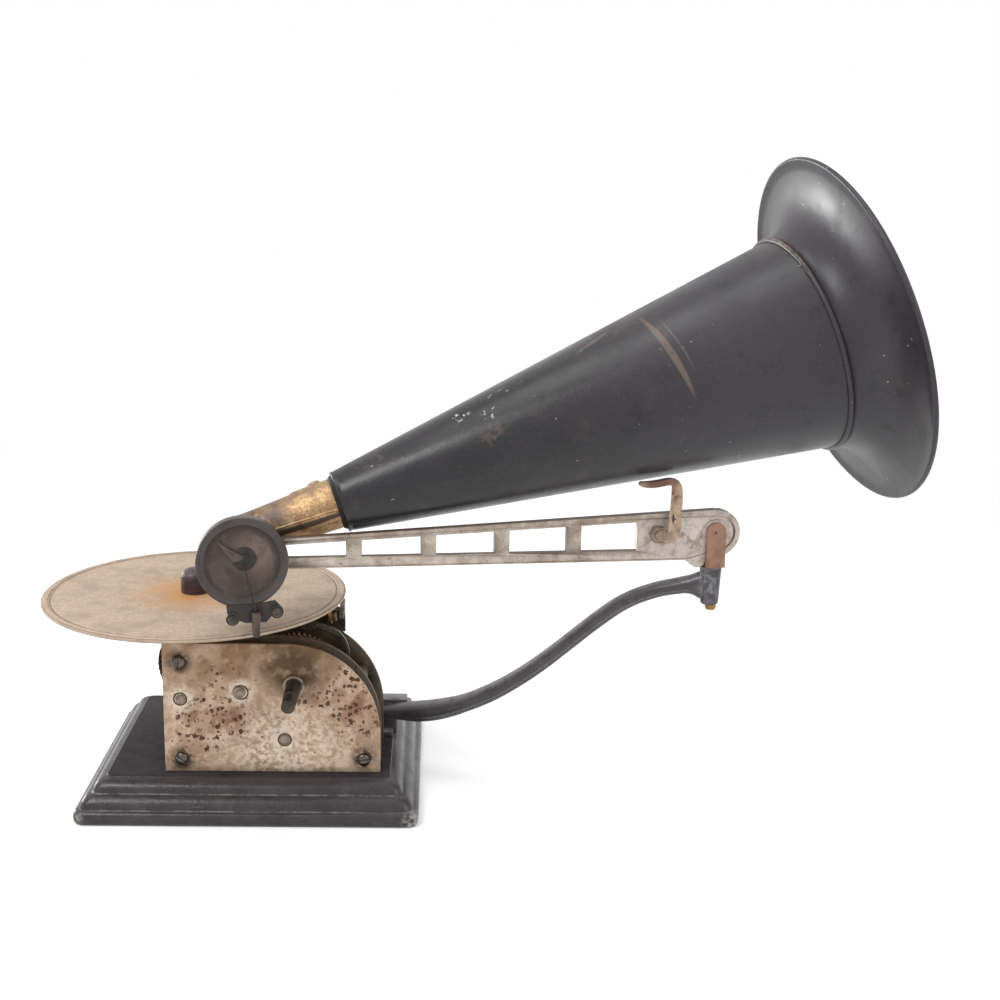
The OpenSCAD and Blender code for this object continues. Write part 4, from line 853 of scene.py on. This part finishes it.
def slotted_head(place, gather):
    bm = turned(DOME, 64)
    for side in (-SLOT_HALF, SLOT_HALF):
        bmesh.ops.bisect_plane(bm, geom=bm.verts[:] + bm.edges[:] + bm.faces[:], plane_co=(side, 0, 0),
                               plane_no=(1, 0, 0))
    strip = [f for f in bm.faces if abs(f.calc_center_median().x) < SLOT_HALF - 0.01 and f.normal.z > 0.2]
    sunk = bmesh.ops.extrude_face_region(bm, geom=strip)["geom"]
    bmesh.ops.delete(bm, geom=strip, context="FACES_ONLY")
    low = [g for g in sunk if isinstance(g, bmesh.types.BMVert)]
    bmesh.ops.translate(bm, vec=(0, 0, -SLOT_DEEP), verts=low)
    bmesh.ops.recalc_face_normals(bm, faces=bm.faces)
    return gathered(bm, gather, place)

def on_plate(x, z, turn=0):
    return Matrix.Translation((x, PLATE_FACE, z)) @ TO_FRONT @ Matrix.Rotation(math.radians(turn), 4, "Z")

screws = sheared("plate_screws", (0, PLATE_FACE + 0.4, 0), (0, -1, 0))
for x, z, turn in ((-39.6, 92.3, -8), (-39.6, 32.3, 48), (67.7, 32.3, 100)):
    screws = slotted_head(on_plate(x, z, turn), screws)
finish_piece("plate_screw_heads", screws, ["plate_screws"], corner=35, finish=finishes["screw_metal"])
rivets = solid_copy("bushes")
rounded(rivets, sharp_edges(rivets), 0.3)
for x, z in RIVETED:
    rivets = turned(RIVET, 40, bm=rivets, place=on_plate(x, z))
finish_piece("plate_rivets", rivets, ["bushes"], corner=35, finish=finishes["rivet_metal"])

# %% [markdown]
# The clevis is a bent strip whose two ears stand on the boss and hold the ladder arm between them. Only the
# ears show, so the copy of its solid is cut off level with the boss. Its cross pin is filed flush, and a
# punch mark is all that tells where it is.

# %% Clevis and its pin
ears = sheared("clevis", (0, 0, 151.6), (0, 0, -1))
rounded(ears, sharp_edges(ears), 0.4)
finish_piece("clevis_ears", ears, ["clevis"], corner=30)
pin_line = [(0, -4.75), (2.48, -4.75), (2.48, 4.75), (0, 4.75)]
finish_piece("clevis_pin", turned(pin_line, 48, place=towards_viewer(ARM, 0, 0, PIN_HEIGHT)), ["cross_pin"],
             finish=finishes["rusty_strip"])

# %% [markdown]
# The hook that holds the horn up is one flat iron strip. It curls round its bolt, stands up, and is forged
# to a rounder bar that bends back under the horn and ends in a small upturned tip. Each row of the table is
# one ring: its place on the arm, and how wide and thick the iron is there. The section lies between a
# square and a circle, and one step of subdivision gives the soft edges of forged iron.

# %% Horn hook
HOOK = [(-35.2, -8.2, 171.4, 2.2, 0.95), (-32.0, -8.2, 170.4, 3.0, 0.95), (-28.6, -8.2, 171.5, 3.7, 0.95),
        (-27.0, -8.2, 175.0, 4.0, 0.95), (-26.7, -8.2, 180.0, 3.8, 0.95), (-26.5, -8.2, 185.0, 3.5, 0.95),
        (-26.3, -8.2, 190.0, 3.5, 0.95), (-26.1, -8.1, 196.0, 3.4, 1.0), (-26.2, -7.9, 200.6, 3.1, 1.3),
        (-27.2, -7.7, 203.2, 2.6, 1.7), (-29.8, -7.5, 204.4, 2.1, 1.9), (-33.3, -7.4, 203.9, 2.1, 2.0),
        (-38.0, -7.4, 203.0, 2.1, 2.0), (-42.0, -7.4, 202.8, 2.0, 1.9), (-45.4, -7.4, 202.9, 1.8, 1.7),
        (-47.6, -7.4, 203.5, 1.4, 1.3), (-48.7, -7.4, 204.2, 0.8, 0.8)]

def forged_section(count, square):
    return [Vector([math.copysign(abs(c) ** square, c) for c in v]) for v in round_section(count)]

def hook_rings():
    rings = []
    for behind, here, ahead in with_neighbours(HOOK):
        *centre, wide, thick = here
        rings.append(ring_at(centre, (ahead[0] - behind[0], 0, ahead[2] - behind[2]), wide, thick, up=(0, 1, 0)))
    return rings

hook = finish_piece("horn_hook_strip", drawn(forged_section(32, 0.55), hook_rings(), place=ARM), ["horn_hook"],
                    corner=60, finish=finishes["hook_metal"])
rounder = hook.modifiers.new("rounder", "SUBSURF")
rounder.levels = rounder.render_levels = 1

# %% [markdown]
# The sound box has a narrow turned ring, its plate has a fine pressed bead near the rim, and a dark washer
# lies on the plate. These round parts are turned one by one, each with its own distance in front of the
# box, so that they overlap as the real ones do.

# %% Sound box face
ring_line = [(20.7, 0.3), (20.9, 0.0), (24.5, 0.0), (24.7, 0.4), (24.7, 1.0), (24.4, 1.45), (23.8, 1.6), (23.2, 1.45),
             (22.6, 0.95), (21.3, 0.75), (20.9, 0.7), (20.7, 0.6)]
finish_piece("sound_box_ring", turned(ring_line, 96, place=towards_viewer(BOX, 0, -12.2, 0)), ["soundbox_ring"],
             corner=40)
plate_line = [(0, 0), (21.85, 0), (21.85, 0.3), (21.0, 0.3), (20.7, 0.6), (20.2, 0.6), (19.9, 0.3), (0, 0.3)]
finish_piece("sound_box_plate", turned(plate_line, 96, place=towards_viewer(BOX, 0, -11.0, 0)), ["diaphragm"],
             corner=50, finish=finishes["diaphragm_plate"])
washer_line = [(0, 0), (6.5, 0), (6.2, 0.4), (5.4, 0.6), (3.0, 0.7), (2.8, 1.2), (0, 1.3)]
finish_piece("sound_box_washer", turned(washer_line, 64, place=towards_viewer(BOX, 1.2, -11.3, 1.8)),
             ["diaphragm_washer"], corner=50, finish=finishes["washer_metal"])

# %% [markdown]
# The kite is cut from thin metal and lies on the plate, with one point at the washer. Its outline is one
# flat face, which is pushed out to a thin plate and rounded all over. The stylus bar is a slim rod that
# starts there and leads down to the needle's chuck. It bends once, so it is drawn through three rings.

# %% Kite and stylus bar
KITE = [(-13.6, 12.6), (-7.3, 8.0), (0.8, 3.3), (0.4, 2.0), (-2.2, 0.6), (-5.0, 0.5), (-8.4, 5.0)]
KITE_THICK = 0.7

def kite():
    bm = bmesh.new()
    face = bm.faces.new([bm.verts.new((x, z, 0)) for x, z in KITE])
    up = bmesh.ops.extrude_face_region(bm, geom=[face])["geom"]
    bmesh.ops.translate(bm, vec=(0, 0, KITE_THICK), verts=[g for g in up if isinstance(g, bmesh.types.BMVert)])
    bmesh.ops.recalc_face_normals(bm, faces=bm.faces)
    rounded(bm, list(bm.edges), 0.2)
    return gathered(bm, None, towards_viewer(BOX, 0, -12.2, 0))

finish_piece("sound_box_kite", kite(), ["diaphragm_vane"], finish=finishes["box_plate"])

rod_at = [Vector((0.7, -12.7, 0.4)), Vector((0.9, -13.5, -1.2)), Vector((6.3, -18.1, -25.3))]
rod = drawn(round_section(20), [ring_at(p, rod_at[2] - rod_at[1], 0.5) for p in rod_at], place=BOX)
finish_piece("stylus_rod", rod, ["stylus_bar"], finish=finishes["washer_metal"])

# %% [markdown]
# The bracket that carries the governor stands between the plates. Its ears reach just under the turntable
# in the solid, but the photograph shows them lower, so the copy is cut off level a little below that.

# %% Governor bracket
EAR_TOP = 114.9
finish_piece("governor_bracket_block", sheared("governor_bracket", (0, 0, EAR_TOP), (0, 0, 1)), ["governor_bracket"])

# %% [markdown]
# All the other pieces keep the form of their solids: plates, pillars, wheels, arbors, springs and bolts.
# Their edges are rounded by 0.15 mm, or more where the photograph shows a softer edge. A few have a finish
# of their own, such as the two plates behind, which are browner than the front one. A piece that something
# finer already stands for is left out.

# %% Everything else, softened
FILED = 0.15
softer = {"plate_front": 0.35, "plate_middle": 0.35, "plate_rear": 0.35, "soundbox_cup": 0.5, "needle_chuck": 0.3,
          "pivot_bracket": 0.5, "bracket_screws": 0.25, "hook_bolt": 0.3, "winding_arbor": 0.6}
own_finish = {"plate_rear": "back_plate_steel", "plate_middle": "back_plate_steel", "hook_bolt": "bolt_metal",
              "pivot_bracket": "bracket_iron", "rubber_rings": "box_metal"}
replaced = {n for o in bpy.data.objects for n in o.get("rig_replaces", [])}
for node in sorted(set(nodes) - replaced):
    softened(node, softer.get(node, FILED), finishes.get(own_finish.get(node)))

# %% [markdown]
# The floor is white paper, very large, so that its edge is never seen. It takes the gramophone's shadow
# close by, and turns to plain white further out, as in a studio picture. To the camera, and in reflections,
# it is lifted a little by its own light, which never reaches the gramophone: that keeps the paper white
# without brighter lamps.

# %% Floor
FLOOR_HALF = 6

def seen_directly(tree):
    rays, seen = put(tree, "ShaderNodeLightPath").node, 0.0
    for kind in ("Is Camera Ray", "Is Glossy Ray", "Is Transmission Ray"):
        seen = put(tree, "ShaderNodeMath", {"operation": "MAXIMUM"}, {0: rays.outputs[kind], 1: seen})
    return seen

def white_floor():
    bm = bmesh.new()
    bmesh.ops.create_grid(bm, x_segments=1, y_segments=1, size=FLOOR_HALF)
    mesh = bpy.data.meshes.new("floor")
    bm.to_mesh(mesh)
    bm.free()
    floor = bpy.data.objects.new("floor", mesh)
    bpy.context.scene.collection.objects.link(floor)
    paper = Finish("white_paper_floor", "#f4f4f4")
    tree, shader = paper.tree, paper.tree.nodes["Principled BSDF"]
    for name, value in (("Base Color", paper.colour), ("Roughness", 0.9), ("Specular IOR Level", 0.0)):
        shader.inputs[name].default_value = value
    seen = seen_directly(tree)
    lift = put(tree, "ShaderNodeEmission", None, {"Color": (1, 1, 1, 1), "Strength": 0.3})
    both = put(tree, "ShaderNodeAddShader", None, {0: shader.outputs[0], 1: lift})
    near = put(tree, "ShaderNodeMixShader", None, {0: seen, 1: shader.outputs[0], 2: both})
    white = put(tree, "ShaderNodeEmission", None, {"Color": (1, 1, 1, 1), "Strength": 1.0})
    away = put(tree, "ShaderNodeVectorMath", {"operation": "LENGTH"}, {0: paper.where}).node.outputs["Value"]
    far = put(tree, "ShaderNodeMapRange", SOFT, {"Value": away, "From Min": 0.3, "From Max": 1.1})
    far = put(tree, "ShaderNodeMath", {"operation": "MULTIPLY"}, {0: far, 1: seen})
    surface = put(tree, "ShaderNodeMixShader", None, {0: far, 1: near, 2: white})
    tree.links.new(surface, tree.nodes["Material Output"].inputs["Surface"])
    mesh.materials.append(paper.material)
    print("floor of", 2 * FLOOR_HALF, "m")

white_floor()

# %% [markdown]
# The light is a bright room and four softboxes. Their places come from the photograph's own highlights: a
# key at the left that draws the long gleam on the horn, a weak fill at the right, a wide one above for the
# turntable, and a low, narrow one behind at the left that greys the base's sloping edge and the bell. The
# room looks white in reflections but lights the shadows less, so they stay deep.

# %% Light
world = bpy.data.worlds.new("studio")
bpy.context.scene.world = world
world.use_nodes = True
sky = world.node_tree
power = put(sky, "ShaderNodeMapRange", None, {"Value": seen_directly(sky), "To Min": 0.6, "To Max": 1.0})
sky.links.new(power, sky.nodes["Background"].inputs["Strength"])
sky.nodes["Background"].inputs["Color"].default_value = (1, 1, 1, 1)

def softbox(name, at, towards, size, watts, spread=180):
    lamp = bpy.data.lights.new(name, "AREA")
    lamp.shape = "RECTANGLE"
    lamp.size, lamp.size_y = size
    lamp.energy = watts
    lamp.spread = math.radians(spread)
    thing = bpy.data.objects.new(name, lamp)
    thing.location = at
    thing.rotation_euler = (Vector(towards) - Vector(at)).to_track_quat("-Z", "Y").to_euler()
    thing.visible_camera = False
    bpy.context.scene.collection.objects.link(thing)
    print(name, watts, "W")

softbox("key_left", (-1.1, -1.2, 1.9), (0.1, 0, 0.15), (0.85, 0.85), 25)
softbox("fill_right", (1.7, -1.3, 1.3), (0.1, 0, 0.2), (1.0, 1.0), 10)
softbox("top", (-0.35, 0.0, 2.6), (0.1, 0, 0), (1.3, 1.1), 14)
softbox("back_left", (-1.2, 1.15, 0.4), (0.28, 0, 0.36), (1.5, 0.5), 2.5, 40)

# %% [markdown]
# The camera stands where the photographer's did. Its place, turn, tilt and focal length were found by
# matching the base, the plates and the turntable with the photograph, and a shift of the lens sets the
# picture's crop.

# %% Camera
EYE_AT = (0.1109, -0.8464, 0.3823)
YAW, PITCH, ROLL = (math.radians(angle) for angle in (0.08, 12.18, 0.47))

def camera():
    ahead = Vector((math.sin(YAW) * math.cos(PITCH), math.cos(YAW) * math.cos(PITCH), -math.sin(PITCH)))
    right = Vector((math.cos(YAW), -math.sin(YAW), 0))
    up = right.cross(ahead)
    across = math.cos(ROLL) * right + math.sin(ROLL) * up
    above = -math.sin(ROLL) * right + math.cos(ROLL) * up
    eye = bpy.data.cameras.new("camera")
    eye.sensor_width = 36
    eye.lens = 51.52
    eye.shift_x, eye.shift_y = 0.0589, -0.0371
    eye.clip_start, eye.clip_end = 0.05, 50
    seat = bpy.data.objects.new("camera", eye)
    seat.matrix_world = Matrix.Translation(EYE_AT) @ Matrix((across, above, -ahead)).transposed().to_4x4()
    bpy.context.scene.collection.objects.link(seat)
    bpy.context.scene.camera = seat
    print("lens of", round(eye.lens, 2), "mm")

camera()
bpy.context.scene.view_settings.view_transform = "Standard"

# %% [markdown]
